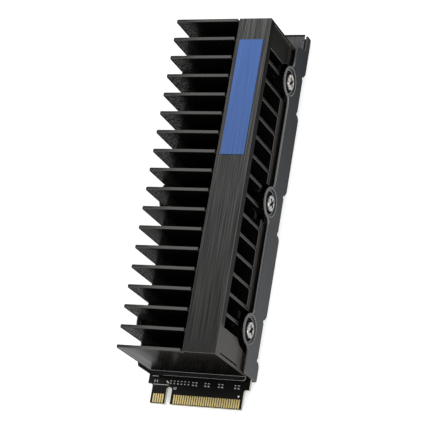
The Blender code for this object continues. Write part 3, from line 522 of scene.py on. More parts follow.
def anodised_material(base):
    """Black anodising: brushed strip, grainy flanks, glossy ends and sides, dull floors; the cut tips,
    flanks, sides and end feet carry painted light, the hollows and the fins' left ends painted shade.
    """
    tree, shader = finish_material("anodised_brushed", base, 0.3, Specular_IOR_Level=0.0,
                                   Coat_Roughness=0.22, Coat_IOR=1.6, Coat_Tint=(1.0, 0.985, 0.955, 1.0))
    grain = use_group(tree, "Brushed Grain", Lines_per_metre=9000.0)
    fleck = use_group(tree, "Fine Speckle", Grains_per_metre=3700.0)
    zones = use_group(tree, "Machined Zones")
    flecks = remap(tree, fleck["Grain"], 0.44, 0.58, 0.0, 1.0)
    streaks = remap(tree, grain["Streak"], 0.4, 0.6, 0.0, 1.0)

    # Base colour, zone over zone, in shares of the anodised colour, much of it painted light and painted
    # shade
    strip = tint(tree, streaks, shade(base, 0.3), shade(base, 1.3))
    # Off the strip the colour drops to a fifth, which is also painted shade in the gap floors, windows and
    # pockets
    colour_now = tint(tree, zones["Strip"], shade(base, 0.2), strip)
    # Painted light on the flanks: lighter toward their open left ends, fading to painted shade deeper in
    fade = remap(tree, zones["Across"], 0.14, 0.6, 1.0, 0.0)
    painted_flank_light = tint(tree, fade, shade(base, 0.2), shade(base, 1.0))
    colour_now = tint(tree, zones["Flank"], colour_now, painted_flank_light)
    # Painted reflection on the sides: lighter on the rail below the windows, lighter still on the near panel,
    # darker elsewhere and toward the rail's far end
    painted_side_light = tint(tree, zones["Below windows"], shade(base, 0.6), shade(base, 2.4))
    painted_side_light = tint(tree, zones["Near panel"], painted_side_light, shade(base, 3.9))
    colour_now = tint(tree, zones["Side"], colour_now, painted_side_light)
    # Painted light on the fin tips: lighter than the flanks, and lighter still toward the right
    crest = tint(tree, zones["Across"], shade(base, 1.0), shade(base, 2.9))
    colour_now = tint(tree, zones["Tip"], colour_now, crest)
    # Painted highlight: a light line along the foot of each end face
    colour_now = tint(tree, zones["Foot"], colour_now, shade(base, 24.0))
    # Painted shade: the fins' left ends go nearly black
    colour_now = tint(tree, zones["Left rim"], colour_now, shade(base, 0.1))
    tree.links.new(colour_now, shader.inputs["Base Color"])

    # Coat weight of each zone, where a blend along or across goes from its near or left end
    side = blend(tree, zones["Along"], 0.41, 0.02)
    side = multiply(tree, side, blend(tree, zones["Roof side"], 1.0, 0.45))
    side = blend(tree, zones["Near panel"], side, 0.16)
    dull = blend(tree, zones["Along"], 0.185, 0.13)
    bright = blend(tree, zones["Along"], 0.315, 0.37)
    strip_coat = multiply(tree, blend(tree, streaks, dull, bright), blend(tree, zones["Along"], 0.78, 2.75))
    broad = use_group(tree, "Brushed Grain", Lines_per_metre=2600.0, Stretch=0.02)["Grain"]
    broad = remap(tree, broad, 0.38, 0.62, 0.6, 1.4)
    strip_coat = multiply(tree, strip_coat, blend(tree, zones["Along"], 1.0, broad))
    end_coat = multiply(tree, blend(tree, streaks, 0.36, 0.56), blend(tree, zones["Across"], 1.0, 0.38))
    tip_coat = blend(tree, zones["Across"], 0.25, 0.6)
    flank_coat = multiply(tree, blend(tree, flecks, 0.0, 0.32), blend(tree, zones["Across"], 1.0, 0.2))
    floor_coat = 0.02
    coat = layered(tree, floor_coat, (zones["Strip"], strip_coat), (zones["Flank"], flank_coat),
                   (zones["End face"], end_coat), (zones["Side"], side), (zones["Tip"], tip_coat))
    coat = multiply(tree, coat, subtract(tree, 1.0, zones["Left rim"]))
    tree.links.new(coat, shader.inputs["Coat Weight"])

    # Brush lines on the open faces, grit on the flanks, faint on the end faces
    height = blend(tree, zones["Flank"], grain["Grain"], fleck["Grain"])
    height = multiply(tree, height, blend(tree, zones["End face"], 1.0, 0.2))
    bump(tree, shader, height, 0.5, 0.000015)


def edge_material(name, mask_name, dark, light, coat):
    """Broken edges with a painted highlight where the mask allows, such as along a part's outer form, and
    painted shade elsewhere.
    """
    tree, shader = finish_material(name, light, 0.4, Specular_IOR_Level=0.0, Coat_Roughness=0.25)
    mask = use_group(tree, "Machined Zones")[mask_name]
    tree.links.new(tint(tree, mask, dark, light), shader.inputs["Base Color"])
    tree.links.new(multiply(tree, mask, coat), shader.inputs["Coat Weight"])


def dish_group():
    """Mask of the dished floors under the screw heads, each about one screw's axis."""
    group, sizes, ends = effect_group("Dish Floors",
                                      [("First", -0.02538), ("Pitch", 0.026415), ("Height", 0.0077),
                                       ("Radius", 0.00242)], ["Floor"])
    y, z = coordinates(group)[1:]
    half = multiply(group, sizes[1], 0.5)
    shifted = add(group, subtract(group, y, sizes[0]), half)
    along = subtract(group, arithmetic(group, "FLOORED_MODULO", shifted, sizes[1]), half)
    above = subtract(group, z, sizes[2])
    squares = add(group, multiply(group, along, along), multiply(group, above, above))
    reach = multiply(group, sizes[3], sizes[3])
    group.links.new(less(group, squares, reach), ends["Floor"])


def painted_material(base):
    """Smooth black paint on folded steel, with a painted highlight on the sheet's cut edges and painted shade
    in the dished floors.
    """
    tree, shader = finish_material("tray_paint", base, 0.4, Specular_IOR_Level=0.0, Coat_Roughness=0.2)
    masks = use_group(tree, "Fine Speckle", Grains_per_metre=9000.0)
    zones = use_group(tree, "Machined Zones")
    floor = use_group(tree, "Dish Floors")["Floor"]
    height = coordinates(tree)[2]
    edgewise, floor_top = 0.35, 0.0011
    # Painted highlight on the sheet's cut edges, on the right half only and dimmed toward the ends
    cut = multiply(tree, less(tree, facing(tree, 0), edgewise), greater(tree, height, floor_top))
    cut = multiply(tree, cut, zones["Right half"])
    paint = tint(tree, masks["Cloud"], shade(base, 0.9), shade(base, 1.12))
    # Painted shade in the dished floors about the screws
    paint = tint(tree, floor, paint, shade(base, 0.3))
    tree.links.new(tint(tree, cut, paint, (0.17, 0.17, 0.167)), shader.inputs["Base Color"])
    coat = blend(tree, zones["Along"], 0.5, 0.08)
    tree.links.new(blend(tree, floor, coat, 0.02), shader.inputs["Coat Weight"])
    bump(tree, shader, masks["Grain"], 0.4, 0.000006)


def card_material(mask, laminate):
    """Black lacquer on the card's faces and bare laminate on its cut edges."""
    tree, shader = finish_material("solder_mask", mask, 0.28, Specular_IOR_Level=0.07)
    masks = use_group(tree, "Fine Speckle", Grains_per_metre=6000.0)
    flat = greater(tree, facing(tree, 2), 0.5)
    lacquer = tint(tree, masks["Cloud"], shade(mask, 0.8), shade(mask, 1.3))
    edge = tint(tree, masks["Grain"], shade(laminate, 0.75), shade(laminate, 1.15))
    tree.links.new(tint(tree, flat, edge, lacquer), shader.inputs["Base Color"])
    tree.links.new(blend(tree, flat, 0.7, 0.28), shader.inputs["Roughness"])
    bump(tree, shader, masks["Grain"], 0.3, 0.000006)


def lipped_pad_material():
    """Dull dark pad with a painted highlight along the front of its squeezed lower lip."""
    tree, shader = finish_material("pad_dark", (0.008, 0.008, 0.009), 0.7, Specular_IOR_Level=0.03)
    x, _, height = coordinates(tree)
    lip_start = -0.0074
    # Painted highlight: a light band along the pad's foot, right of lip_start
    low = less(tree, height, LIP_TOP)
    lip = multiply(tree, low, greater(tree, x, lip_start))
    tree.links.new(tint(tree, lip, (0.008, 0.008, 0.009), (0.34, 0.34, 0.33)), shader.inputs["Base Color"])
    masks = use_group(tree, "Fine Speckle", Grains_per_metre=3000.0)
    bump(tree, shader, masks["Grain"], 0.5, 0.00003)


def mottled_pad_material():
    """Grey putty-like pad with a fine mottle and painted shade along its far rim."""
    tree, shader = finish_material("pad_grey", (0.075, 0.075, 0.078), 0.8, Specular_IOR_Level=0.1)
    masks = use_group(tree, "Fine Speckle", Grains_per_metre=3600.0)
    mottle = remap(tree, masks["Grain"], 0.3, 0.7, 0.0, 1.0)
    y = coordinates(tree)[1]
    # Painted shade: the pad's far rim goes black
    rim = greater(tree, y, PAD_RIM)
    putty = tint(tree, mottle, (0.04, 0.04, 0.043), (0.125, 0.125, 0.13))
    tree.links.new(tint(tree, rim, putty, (0.004, 0.004, 0.004)), shader.inputs["Base Color"])
    bump(tree, shader, masks["Grain"], 0.5, 0.00003)


def label_material(base):
    """Printed foil that follows the brushed strip below it, painted darker toward the near end as painted
    shade.
    """
    tree, shader = finish_material("label_blue", base, 0.45, Specular_IOR_Level=0.2)
    grain = use_group(tree, "Brushed Grain", Lines_per_metre=9000.0)
    zones = use_group(tree, "Machined Zones")
    streaks = remap(tree, grain["Streak"], 0.3, 0.7, 0.0, 1.0)
    # Painted shade: the label is darker at the near end than at the far end
    near_shade = tint(tree, streaks, shade(base, 0.42), shade(base, 0.66))
    far_shade = tint(tree, streaks, shade(base, 0.84), shade(base, 1.18))
    tree.links.new(tint(tree, zones["Along"], near_shade, far_shade), shader.inputs["Base Color"])
    bump(tree, shader, grain["Grain"], 0.3, 0.000005)


def screw_material(base):
    """Bright steel with painted shade in the cross recess, which the mesh marks."""
    tree, shader = finish_material("screw_steel", base, 0.3, 1.0)
    masks = use_group(tree, "Fine Speckle", Grains_per_metre=5000.0)
    inside = add_node(tree, "ShaderNodeAttribute", {"attribute_name": "recess"}).outputs["Fac"]
    spots = remap(tree, masks["Grain"], 0.38, 0.6, 0.0, 1.0)
    steel = tint(tree, spots, shade(base, 0.2), shade(base, 0.95))
    # Painted shade: the recess faces go nearly black
    tree.links.new(tint(tree, inside, steel, shade(base, 0.05)), shader.inputs["Base Color"])
    bump(tree, shader, masks["Grain"], 0.6, 0.00003)


def make_finishes(colours):
    brushed_grain_group()
    speckle_group()
    zones_group()
    dish_group()
    anodised, tray = tuple(colours.anodised), tuple(colours.tray)
    anodised_material(anodised)
    # Painted highlight on the heatsink's outer edges, painted shade on those in its windows and pockets
    edge_material("anodised_edge", "Outer form", shade(anodised, 0.3), shade(anodised, 4.5), 0.5)
    painted_material(tray)
    # Painted highlight on the tray's edges over its right half, painted shade on the left
    edge_material("tray_edge", "Right half", shade(tray, 0.4), (0.21, 0.21, 0.206), 0.4)
    card_material(tuple(colours.mask), tuple(colours.laminate))
    speckled("contact_gold", tuple(colours.gold), 0.26, 1.0, grains=15000.0, depth=0.000004)
    speckled("solder_tin", (0.5, 0.49, 0.48), 0.45, 0.6, grains=15000.0, depth=0.000008)
    speckled("ceramic_brown", (0.022, 0.018, 0.015), 0.45)
    speckled("resistor_black", (0.008, 0.008, 0.009), 0.4)
    speckled("silkscreen_white", (0.62, 0.62, 0.60), 0.6)
    speckled("chip_plastic", (0.012, 0.012, 0.013), 0.55)
    speckled("ferrite", (0.10, 0.10, 0.105), 0.6)
    speckled("capacitor_tan", (0.40, 0.23, 0.09), 0.5)
    speckled("crystal_lid", (0.6, 0.59, 0.56), 0.3, 1.0)
    lipped_pad_material()
    mottled_pad_material()
    label_material(tuple(colours.label))
    screw_material(tuple(colours.steel))


# Shapes


def add_object(name, mesh, material):
    piece = new_object(name, mesh)
    mesh.materials.clear()
    mesh.materials.append(finish(material))
    return piece


def mesh_of_rings(name, bodies):
    """Mesh of closed bodies, each given as loops of equal length that are skinned and capped."""
    builder = bmesh.new()
    for rings in bodies:
        loops = [[builder.verts.new(point) for point in ring] for ring in rings]
        count = len(loops[0])
        for lower, upper in zip(loops, loops[1:]):
            for i in range(count):
                j = (i + 1) % count
                builder.faces.new((lower[i], lower[j], upper[j], upper[i]))
        builder.faces.new(reversed(loops[0]))
        builder.faces.new(loops[-1])
    bmesh.ops.recalc_face_normals(builder, faces=builder.faces)
    return new_mesh(name, builder)


def plate(outline, low_z, high_z):
    """Rings of a flat plate with the given outline."""
    return [[(u, v, z) for u, v in outline] for z in (low_z, high_z)]


def smooth(piece, degrees=35.0):
    piece.data.shade_smooth()
    piece.data.set_sharp_from_angle(angle=radians(degrees))


def soften(piece, width, edge_material=None):
    """Breaks the piece's sharp edges, keeps its broad faces level, and can give the edges a finish."""
    piece.data.shade_smooth()
    modifier = piece.modifiers.new("Edge break", "BEVEL")
    modifier.width = width
    modifier.segments = 2
    modifier.limit_method = "ANGLE"
    modifier.angle_limit = radians(35.0)
    modifier.use_clamp_overlap = False
    if edge_material:
        piece.data.materials.append(finish(edge_material))
        modifier.material = len(piece.data.materials) - 1
    level = piece.modifiers.new("Level faces", "WEIGHTED_NORMAL")
    level.mode = "FACE_AREA"
    level.weight = 100
    level.keep_sharp = True
    bake_modifiers(piece)


def joined_copy(node, name):
    """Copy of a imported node's mesh with its loose triangles joined."""
    builder = bmesh.new()
    builder.from_mesh(frame["nodes"][node].data)
    bmesh.ops.remove_doubles(builder, verts=builder.verts, dist=WELD)
    return new_mesh(name, builder)


def make_whole(mesh):
    """Dissolves the edges inside a mesh's flat areas."""
    builder = bmesh.new()
    builder.from_mesh(mesh)
    bmesh.ops.dissolve_limit(builder, angle_limit=radians(1.0), verts=builder.verts, edges=builder.edges)
    builder.to_mesh(mesh)
    builder.free()


def hand_over(piece, slot, *nodes):
    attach(piece, "root")
    if nodes:
        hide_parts(*nodes)


def circle(radius, count, turn=0.0):
    angles = [turn + 2 * pi * i / count for i in range(count)]
    return [(radius * cos(angle), radius * sin(angle)) for angle in angles]


# Heatsink


def heatsink_tree(material, sizes):
    """Comb of fins cut from a block: gaps, windows, end panels, side steps, screw pockets and bosses."""
    tree, size = shape_tree("Finned Heatsink", sizes)
    plus, minus, times = partial(add, tree), partial(subtract, tree), partial(multiply, tree)

    def span(low, high):
        return minus(high, low), times(plus(low, high), 0.5)

    def block(low_x, high_x, low_y, high_y, low_z, high_z, corner=None):
        (long, x), (wide, y), (tall, z) = span(low_x, high_x), span(low_y, high_y), span(low_z, high_z)
        return bar(tree, vector(tree, long, wide, tall), vector(tree, x, y, z), corner)

    over, foot_share, root_share = 0.001, 0.995, 1.25
    side = times(size["Width"], 0.5)
    outside = plus(side, over)
    gaps = minus(size["Fins"], 1.0)
    low_y = plus(size["Start"], size["Fin thickness"])
    high_y = plus(size["Start"], size["Fin pitch"])
    end = plus(plus(size["Start"], size["Fin thickness"]), times(gaps, size["Fin pitch"]))
    roof_under = minus(size["Top"], size["Roof thickness"])
    parting = minus(minus(side, size["Roof width"]), times(size["Groove width"], 0.5))
    inner = minus(side, size["Side skin"])
    under, above = minus(size["Base top"], over), plus(roof_under, over)

    body = size["Geometry"]
    open_gap = block(minus(0.0, outside), parting, low_y, high_y, size["Base top"], plus(size["Top"], over),
                     size["Root radius"])
    body = carve(tree, body, "DIFFERENCE", row(tree, open_gap, gaps, size["Fin pitch"]))
    roofed_gap = block(minus(parting, times(size["Groove width"], 0.25)), outside, low_y, high_y,
                       size["Base top"], roof_under, size["Root radius"])
    near = block(inner, plus(outside, over), plus(low_y, size["Panel slit"]),
                 plus(size["Start"], size["Panel reach"]), under, above)
    far = block(inner, plus(outside, over), minus(end, size["Panel reach"]),
                minus(minus(end, size["Fin thickness"]), size["Panel slit"]), under, above)
    windows = carve(tree, row(tree, roofed_gap, gaps, size["Fin pitch"]), "DIFFERENCE", near, far)
    body = carve(tree, body, "DIFFERENCE", windows)

    for turn in (1.0, -1.0):
        def across(low, high):
            low, high = times(low, turn), times(high, turn)
            return arithmetic(tree, "MINIMUM", low, high), arithmetic(tree, "MAXIMUM", low, high)

        step = block(*across(minus(side, size["Rebate depth"]), outside), low_y,
                     minus(end, size["Fin thickness"]), minus(size["Bottom"], over),
                     plus(size["Bottom"], size["Rebate height"]))
        body = carve(tree, body, "DIFFERENCE", step)
        low_x, high_x = across(minus(side, size["Pocket depth"]), outside)
        foot_half = times(size["Pocket radius"], foot_share)
        foot = block(low_x, high_x, minus(size["First screw"], foot_half),
                     plus(size["First screw"], foot_half), minus(size["Bottom"], over), size["Axis height"])
        body = carve(tree, body, "DIFFERENCE", row(tree, foot, size["Screws"], size["Screw pitch"]))
        for operation, radius, low, high in (
                ("DIFFERENCE", size["Pocket radius"], minus(side, size["Pocket depth"]), outside),
                ("UNION", size["Boss radius"], minus(side, times(size["Pocket depth"], root_share)),
                 size["Boss face"])):
            long, x = span(*across(low, high))
            disc = add_node(tree, "GeometryNodeMeshCylinder",
                            Vertices=48, Radius=radius, Depth=long).outputs[0]
            disc = add_node(tree, "GeometryNodeTransform", Geometry=disc, Rotation=(0.0, radians(90.0), 0.0),
                            Translation=vector(tree, x, size["First screw"], size["Axis height"])).outputs[0]
            body = carve(tree, body, operation, row(tree, disc, size["Screws"], size["Screw pitch"]))
    end_tree(tree, body, material)
    return tree


def heatsink_blank(sizes):
    """Block whose section has the groove beside the roof strip."""
    side, top, bottom = sizes.width / 2, sizes.top, HEATSINK_LOW.z
    roof_x = side - sizes.roof_width
    groove_x, groove_z = roof_x - sizes.groove_width, top - sizes.groove_depth
    section = [(-side, bottom), (side, bottom), (side, top), (roof_x, top), (roof_x, groove_z),
               (groove_x, groove_z), (groove_x, top)]
    radius, steps = sizes.corner_radius, 5
    for i in range(steps + 1):
        angle = pi / 2 * (1.0 + i / steps)
        section.append((radius * (1.0 + cos(angle)) - side, top - radius * (1.0 - sin(angle))))
    rings = [[(x, y, z) for x, z in section] for y in (HEATSINK_LOW.y, HEATSINK_HIGH.y)]
    return mesh_of_rings("heatsink_blank", [rings])


class DRIVE_OT_heatsink(bpy.types.Operator):
    """Cut the comb of fins, its windows and its screw pockets from a block"""
    bl_idname = "drive.heatsink"
    bl_label = "Heatsink"

    def execute(self, context):
        sizes, screws = context.scene.drive_heatsink, context.scene.drive_screws
        values = {"Fins": sizes.fins, "Fin pitch": sizes.pitch, "Fin thickness": sizes.thickness,
                  "Width": sizes.width, "Start": HEATSINK_LOW.y, "Bottom": HEATSINK_LOW.z,
                  "Base top": sizes.base_top, "Top": sizes.top, "Roof width": sizes.roof_width,
                  "Roof thickness": sizes.roof_thickness, "Groove width": sizes.groove_width,
                  "Side skin": sizes.skin, "Root radius": sizes.root_radius, "Panel reach": sizes.panel_reach,
                  "Panel slit": sizes.panel_slit, "Rebate height": sizes.rebate_height,
                  "Rebate depth": sizes.rebate_depth, "Screws": screws.per_side, "First screw": screws.first,
                  "Screw pitch": screws.pitch, "Axis height": screws.height,
                  "Pocket radius": sizes.pocket_radius, "Pocket depth": sizes.pocket_depth,
                  "Boss radius": sizes.boss_radius, "Boss face": HEATSINK_HIGH.x}
        tree = heatsink_tree(finish("anodised_brushed"), values)
        piece = grow("heatsink_comb", heatsink_blank(sizes), tree, values)
        soften(piece, sizes.edge, edge_material="anodised_edge")
        hand_over(piece, SLOTS["heatsink"], "heatsink")
        return {"FINISHED"}


# Tray and screws


def draw_in(mesh, places, height, sizes):
    """Draws each ear in about its screw, fully at its outline and not at all where its fillets end."""
    wall_inside = 0.008
    ear = max(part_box("tray")[1].z - height, sizes.ear_radius)
    share = sizes.ear_radius / ear
    for vertex in mesh.vertices:
        y, z = vertex.co.y, vertex.co.z
        centre = min(places, key=lambda place: abs(place - y))
        distance = sqrt((y - centre) ** 2 + (z - height) ** 2)
        if abs(vertex.co.x) < wall_inside or distance > sizes.blend_radius:
            continue
        out = max(0.0, distance - ear) / (sizes.blend_radius - ear)
        factor = share + (1.0 - share) * min(1.0, out)
        vertex.co.y = centre + (y - centre) * factor
        vertex.co.z = height + (z - height) * factor


def slant_slots(mesh, places, sizes):
    """Moves the ends of the relief slots to their slanted lines, corner rounds with them."""
    corner, slack = 0.0004, 0.0005
    for vertex in mesh.vertices:
        x, y, z = vertex.co
        centre = min(places, key=lambda place: abs(place - y))
        away = abs(y - centre)
        share = min(1.0, max(0.0, z / sizes.slot_height))
        plain = sizes.plain_half + (sizes.plain_head - sizes.plain_half) * share
        if abs(x) < sizes.slot_reach or z > sizes.slot_height + corner or abs(away - plain) > slack:
            continue
        if y > centre:
            vertex.co.y += sizes.far_foot + (sizes.far_head - sizes.far_foot) * share - plain
        else:
            vertex.co.y -= sizes.near_foot + (sizes.near_head - sizes.near_foot) * share - plain


class DRIVE_OT_tray(bpy.types.Operator):
    """Finish the folded tray with broken sheet edges"""
    bl_idname = "drive.tray"
    bl_label = "Tray"

    def execute(self, context):
        sizes, screws = context.scene.drive_tray, context.scene.drive_screws
        piece = add_object("folded_tray", joined_copy("tray", "folded_tray"), "tray_paint")
        make_whole(piece.data)
        low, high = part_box("screw_right_1")
        first, height = (low.y + high.y) / 2, (low.z + high.z) / 2
        places = [first + i * screws.pitch for i in range(screws.per_side)]
        draw_in(piece.data, places, height, sizes)
        slant_slots(piece.data, places, sizes)
        soften(piece, sizes.edge, edge_material="tray_edge")
        hand_over(piece, SLOTS["tray"], "tray")
        return {"FINISHED"}


def screw_shape(sizes):
    """Pan head screw along +X, its seat at the origin, with a tapered cross recess."""
    radius, head = sizes.head_radius, sizes.head_height
    shank, reach, point, neck, foot, edge = 0.00095, 0.0036, 0.0003, 0.0001, 0.00005, 0.00026
    profile = [(-reach, shank * 0.7), (point - reach, shank), (-neck, shank), (0.0, shank + neck),
               (0.0, radius - foot), (foot, radius)]
    profile += [(head - edge + edge * sin(turn), radius - edge + edge * cos(turn))
                for turn in (0.0, pi / 8, pi / 4, 3 * pi / 8, pi / 2)]
    profile += [(head + 0.00002, radius * 0.5)]
    rings = [[(x, u, v) for u, v in circle(r, 40)] for x, r in profile]
    screw = new_object("screw_shape", mesh_of_rings("screw_shape", [rings]))
    rings = []
    arm_half = 0.0003
    for x, grow_by in ((head - 0.00045, 0.35), (head - 0.0003, 0.72), (head + 0.0002, 1.12)):
        arm, half = sizes.recess / 2 * grow_by, arm_half * (0.5 + 0.5 * grow_by)
        cross = []
        for u, v in ((1, 0), (0, 1), (-1, 0), (0, -1)):
            cross += [(arm * u + half * v, arm * v - half * u), (arm * u - half * v, arm * v + half * u)]
            cross += [(half * (u - v), half * (v + u))]
        rings.append([(x, u, v) for u, v in cross])
    cutter = new_object("cross_cutter", mesh_of_rings("cross_cutter", [rings]))
    modifier = screw.modifiers.new("Recess", "BOOLEAN")
    modifier.operation = "DIFFERENCE"
    modifier.object = cutter
    bake_modifiers(screw)
    bpy.data.objects.remove(cutter)
    mesh = screw.data
    bpy.data.objects.remove(screw)
    # Marks the recess faces that carry the painted shade in the screw's material
    mark = mesh.attributes.new("recess", "FLOAT", "FACE")
    for face, entry in zip(mesh.polygons, mark.data):
        x, u, v = face.center
        entry.value = 1.0 if 0.0 < x < head - 0.00004 and sqrt(u * u + v * v) < radius * 0.75 else 0.0
    return mesh


def screw_tree(material, sizes):
    """Rows of clamp screws, one along each wall, that face outwards."""
    tree, size = shape_tree("Clamp Screws", sizes)
    joined = tree.nodes.new("GeometryNodeJoinGeometry")
    for turn, twist in ((1.0, 0.7), (-1.0, 0.9)):
        seat = multiply(tree, size["Seat"], turn)
        twisted = add_node(tree, "GeometryNodeTransform", Geometry=size["Geometry"],
                           Rotation=(twist, 0.0, 0.0 if turn > 0 else pi)).outputs[0]
        start = vector(tree, seat, size["First screw"], size["Axis height"])
        tree.links.new(row(tree, twisted, size["Screws"], size["Screw pitch"], start), joined.inputs[0])
    end_tree(tree, joined.outputs[0], material)
    return tree


class DRIVE_OT_screws(bpy.types.Operator):
    """Set the six clamp screws in their ears"""
    bl_idname = "drive.screws"
    bl_label = "Screws"

    def execute(self, context):
        sizes = context.scene.drive_screws
        values = {"Screws": sizes.per_side, "First screw": sizes.first, "Screw pitch": sizes.pitch,
                  "Axis height": sizes.height, "Seat": sizes.seat}
        tree = screw_tree(finish("screw_steel"), values)
        piece = grow("clamp_screws", screw_shape(sizes), tree, values)
        smooth(piece, 30.0)
        nodes = [f"screw_{side}_{number}" for side in ("left", "right")
                 for number in range(1, sizes.per_side + 1)]
        hand_over(piece, SLOTS["screw_left_1"], *nodes)
        return {"FINISHED"}


# Card


def arc(centre_u, centre_v, radius, start, end, steps):
    turns = [start + (end - start) * i / steps for i in range(steps + 1)]
    return [(centre_u + radius * cos(turn), centre_v + radius * sin(turn)) for turn in turns]


def card_outline():
    """Card with its key notch, shoulders and half-round mounting notch, counter-clockwise."""
    start, end, half = BOARD_LOW.y, BOARD_HIGH.y, BOARD_HIGH.x
    shoulder_width, tongue_depth, root, notch = 0.001075, 0.004, 0.0005, 0.00175
    tongue, shoulder = half - shoulder_width, start + tongue_depth
    key, key_x, key_depth = 0.0006, -0.006125, 0.0035
    key_end = start + key_depth
    outline = [(-tongue, start), (key_x - key, start)]
    outline += arc(key_x, key_end - key, key, pi, 0.0, 12)
    outline += [(key_x + key, start), (tongue, start)]
    outline += arc(tongue + root, shoulder - root, root, pi, pi / 2, 5)
    outline += [(half, shoulder), (half, end)]
    outline += arc(0.0, end, notch, 0.0, -pi, 24)
    outline += [(-half, end), (-half, shoulder)]
    outline += arc(-tongue - root, shoulder - root, root, pi / 2, 0.0, 5)
    return outline


def seat_ring(low_z, high_z):
    """Half ring of bare plating about the mounting notch."""
    end = BOARD_HIGH.y
    outer, inner, gap = 0.00275, 0.0019, 0.00015
    outline = arc(0.0, end, outer, asin(gap / outer) - pi, -asin(gap / outer), 24)
    outline += arc(0.0, end, inner, -asin(gap / inner), asin(gap / inner) - pi, 24)
    return plate(outline, low_z, high_z)


def contact_shape(sizes):
    """One contact finger with round corners, its foot in the card and its middle over the origin."""
    half, corner = sizes.contact_width / 2, 0.00007
    low, high = 0.0, sizes.contact_length

    def ring(inset, z):
        outline = []
        for u, v, start in ((half, low, -pi / 2), (half, high, 0.0), (-half, high, pi / 2), (-half, low, pi)):
            centre_u = u - (corner if u > 0 else -corner)
            centre_v = v + (corner if v == low else -corner)
            outline += arc(centre_u, centre_v, corner - inset, start, start + pi / 2, 3)
        return [(u, v, z) for u, v in outline]

    lip, foot = sizes.contact_height * 0.4, 0.00004
    rings = [ring(0.0, -foot), ring(0.0, sizes.contact_height - lip), ring(lip, sizes.contact_height)]
    return mesh_of_rings("contact_shape", [rings])


def contact_tree(material, sizes):
    """Row of contact fingers across the card, without those at the key notch."""
    tree, size = shape_tree("Contact Row", sizes)
    step = multiply(tree, size["Pitch"], -1.0)
    line = add_node(tree, "GeometryNodeMeshLine", {"mode": "OFFSET", "count_mode": "TOTAL"},
                    Count=size["Places"], Start_Location=size["First"], Offset=vector(tree, step)).outputs[0]
    index = tree.nodes.new("GeometryNodeInputIndex").outputs[0]
    over = greater(tree, index, subtract(tree, size["Low key place"], 0.5))
    under = less(tree, index, add(tree, size["High key place"], 0.5))
    kept = add_node(tree, "GeometryNodeDeleteGeometry", {"domain": "POINT"}, Geometry=line,
                    Selection=multiply(tree, over, under)).outputs[0]
    placed = add_node(tree, "GeometryNodeInstanceOnPoints", Points=kept, Instance=size["Geometry"],
                      Rotation=vector(tree, 0.0, size["Turn"], 0.0)).outputs[0]
    end_tree(tree, placed, material)
    return tree


class DRIVE_OT_card(bpy.types.Operator):
    """Make the card with its lacquer and bare cut edges"""
    bl_idname = "drive.card"
    bl_label = "Card"

    def execute(self, context):
        rings = plate(card_outline(), CARD_BOTTOM, CARD_TOP)
        piece = add_object("card", mesh_of_rings("card", [rings]), "solder_mask")
        soften(piece, 0.00005)
        hand_over(piece, SLOTS["board"], "board")
        return {"FINISHED"}


class DRIVE_OT_contacts(bpy.types.Operator):
    """Plate both rows of gold contacts and the rings at the mounting notch"""
    bl_idname = "drive.contacts"
    bl_label = "Gold contacts"

    def execute(self, context):
        sizes = context.scene.drive_card
        high = sizes.contacts - sizes.beyond_key - 1
        y = BOARD_LOW.y + sizes.contact_setback
        for name, shift, z, turn in (("contacts_top", 0.0, CARD_TOP, 0.0),
                                     ("contacts_bottom", sizes.contact_pitch / 2, CARD_BOTTOM, pi)):
            values = {"Places": sizes.contacts, "Pitch": sizes.contact_pitch,
                      "First": (sizes.first_contact - shift, y, z),
                      "Low key place": high - sizes.keyed + 1, "High key place": high, "Turn": turn}
            piece = grow(name, contact_shape(sizes), contact_tree(finish("contact_gold"), values), values)
            smooth(piece)
            hand_over(piece, "contact_gold")
        rise = sizes.contact_height
        rings = [seat_ring(face - rise, face + rise) for face in (CARD_TOP, CARD_BOTTOM)]
        piece = add_object("seat_rings", mesh_of_rings("seat_rings", rings), "contact_gold")
        soften(piece, 0.00001)
        hand_over(piece, "contact_gold")
        return {"FINISHED"}


# Parts soldered before the heatsink: x, distance from the contact edge, width, length, height
CAPACITORS = [(pair + side * 0.00036, 0.0044, 0.00032, 0.00074, 0.0004)
              for pair in (-0.00068, 0.002, 0.00495, 0.00845) for side in (-1, 1)]
RESISTORS = [(-0.00595 + i * 0.000776, 0.00448, 0.00026, 0.00072, 0.00024) for i in range(6)]

# Marks printed on the card: x, distance from the contact edge, width, length
MARKS = [(-0.01005, 0.00555, 0.00034, 0.00010), (-0.00957, 0.00555, 0.00030, 0.00010),
         (-0.00909, 0.00556, 0.00030, 0.00010), (-0.00957, 0.00454, 0.00012, 0.00048),
         (-0.00905, 0.00454, 0.00012, 0.00048), (-0.00690, 0.00462, 0.00030, 0.00016),
         (-0.00662, 0.00438, 0.00034, 0.00022), (-0.00512, 0.00335, 0.00010, 0.00040),
         (-0.00488, 0.00312, 0.00034, 0.00010), (-0.00470, 0.00335, 0.00010, 0.00040),
         (-0.00810, 0.00387, 0.00340, 0.00008)]


def rounded_cube():
    """Unit cube about the origin with softened edges, as the shape of every chip part."""
    builder = bmesh.new()
    bmesh.ops.create_cube(builder, size=1.0)
    bmesh.ops.bevel(builder, geom=builder.edges[:], offset=0.08, segments=2, affect="EDGES", profile=0.5)
    return new_mesh("rounded_cube", builder)


def parts_tree(material, sizes):
    """One shape at each given point, stretched to the size that the point holds."""
    tree, size = shape_tree("Chip Parts", sizes)
    shape = add_node(tree, "GeometryNodeObjectInfo", Object=size["Shape"]).outputs["Geometry"]
    stretch = add_node(tree, "GeometryNodeInputNamedAttribute", {"data_type": "FLOAT_VECTOR"},
                       Name="size").outputs[0]
    placed = add_node(tree, "GeometryNodeInstanceOnPoints", Points=size["Geometry"], Instance=shape,
                      Scale=stretch).outputs[0]
    end_tree(tree, placed, material)
    return tree


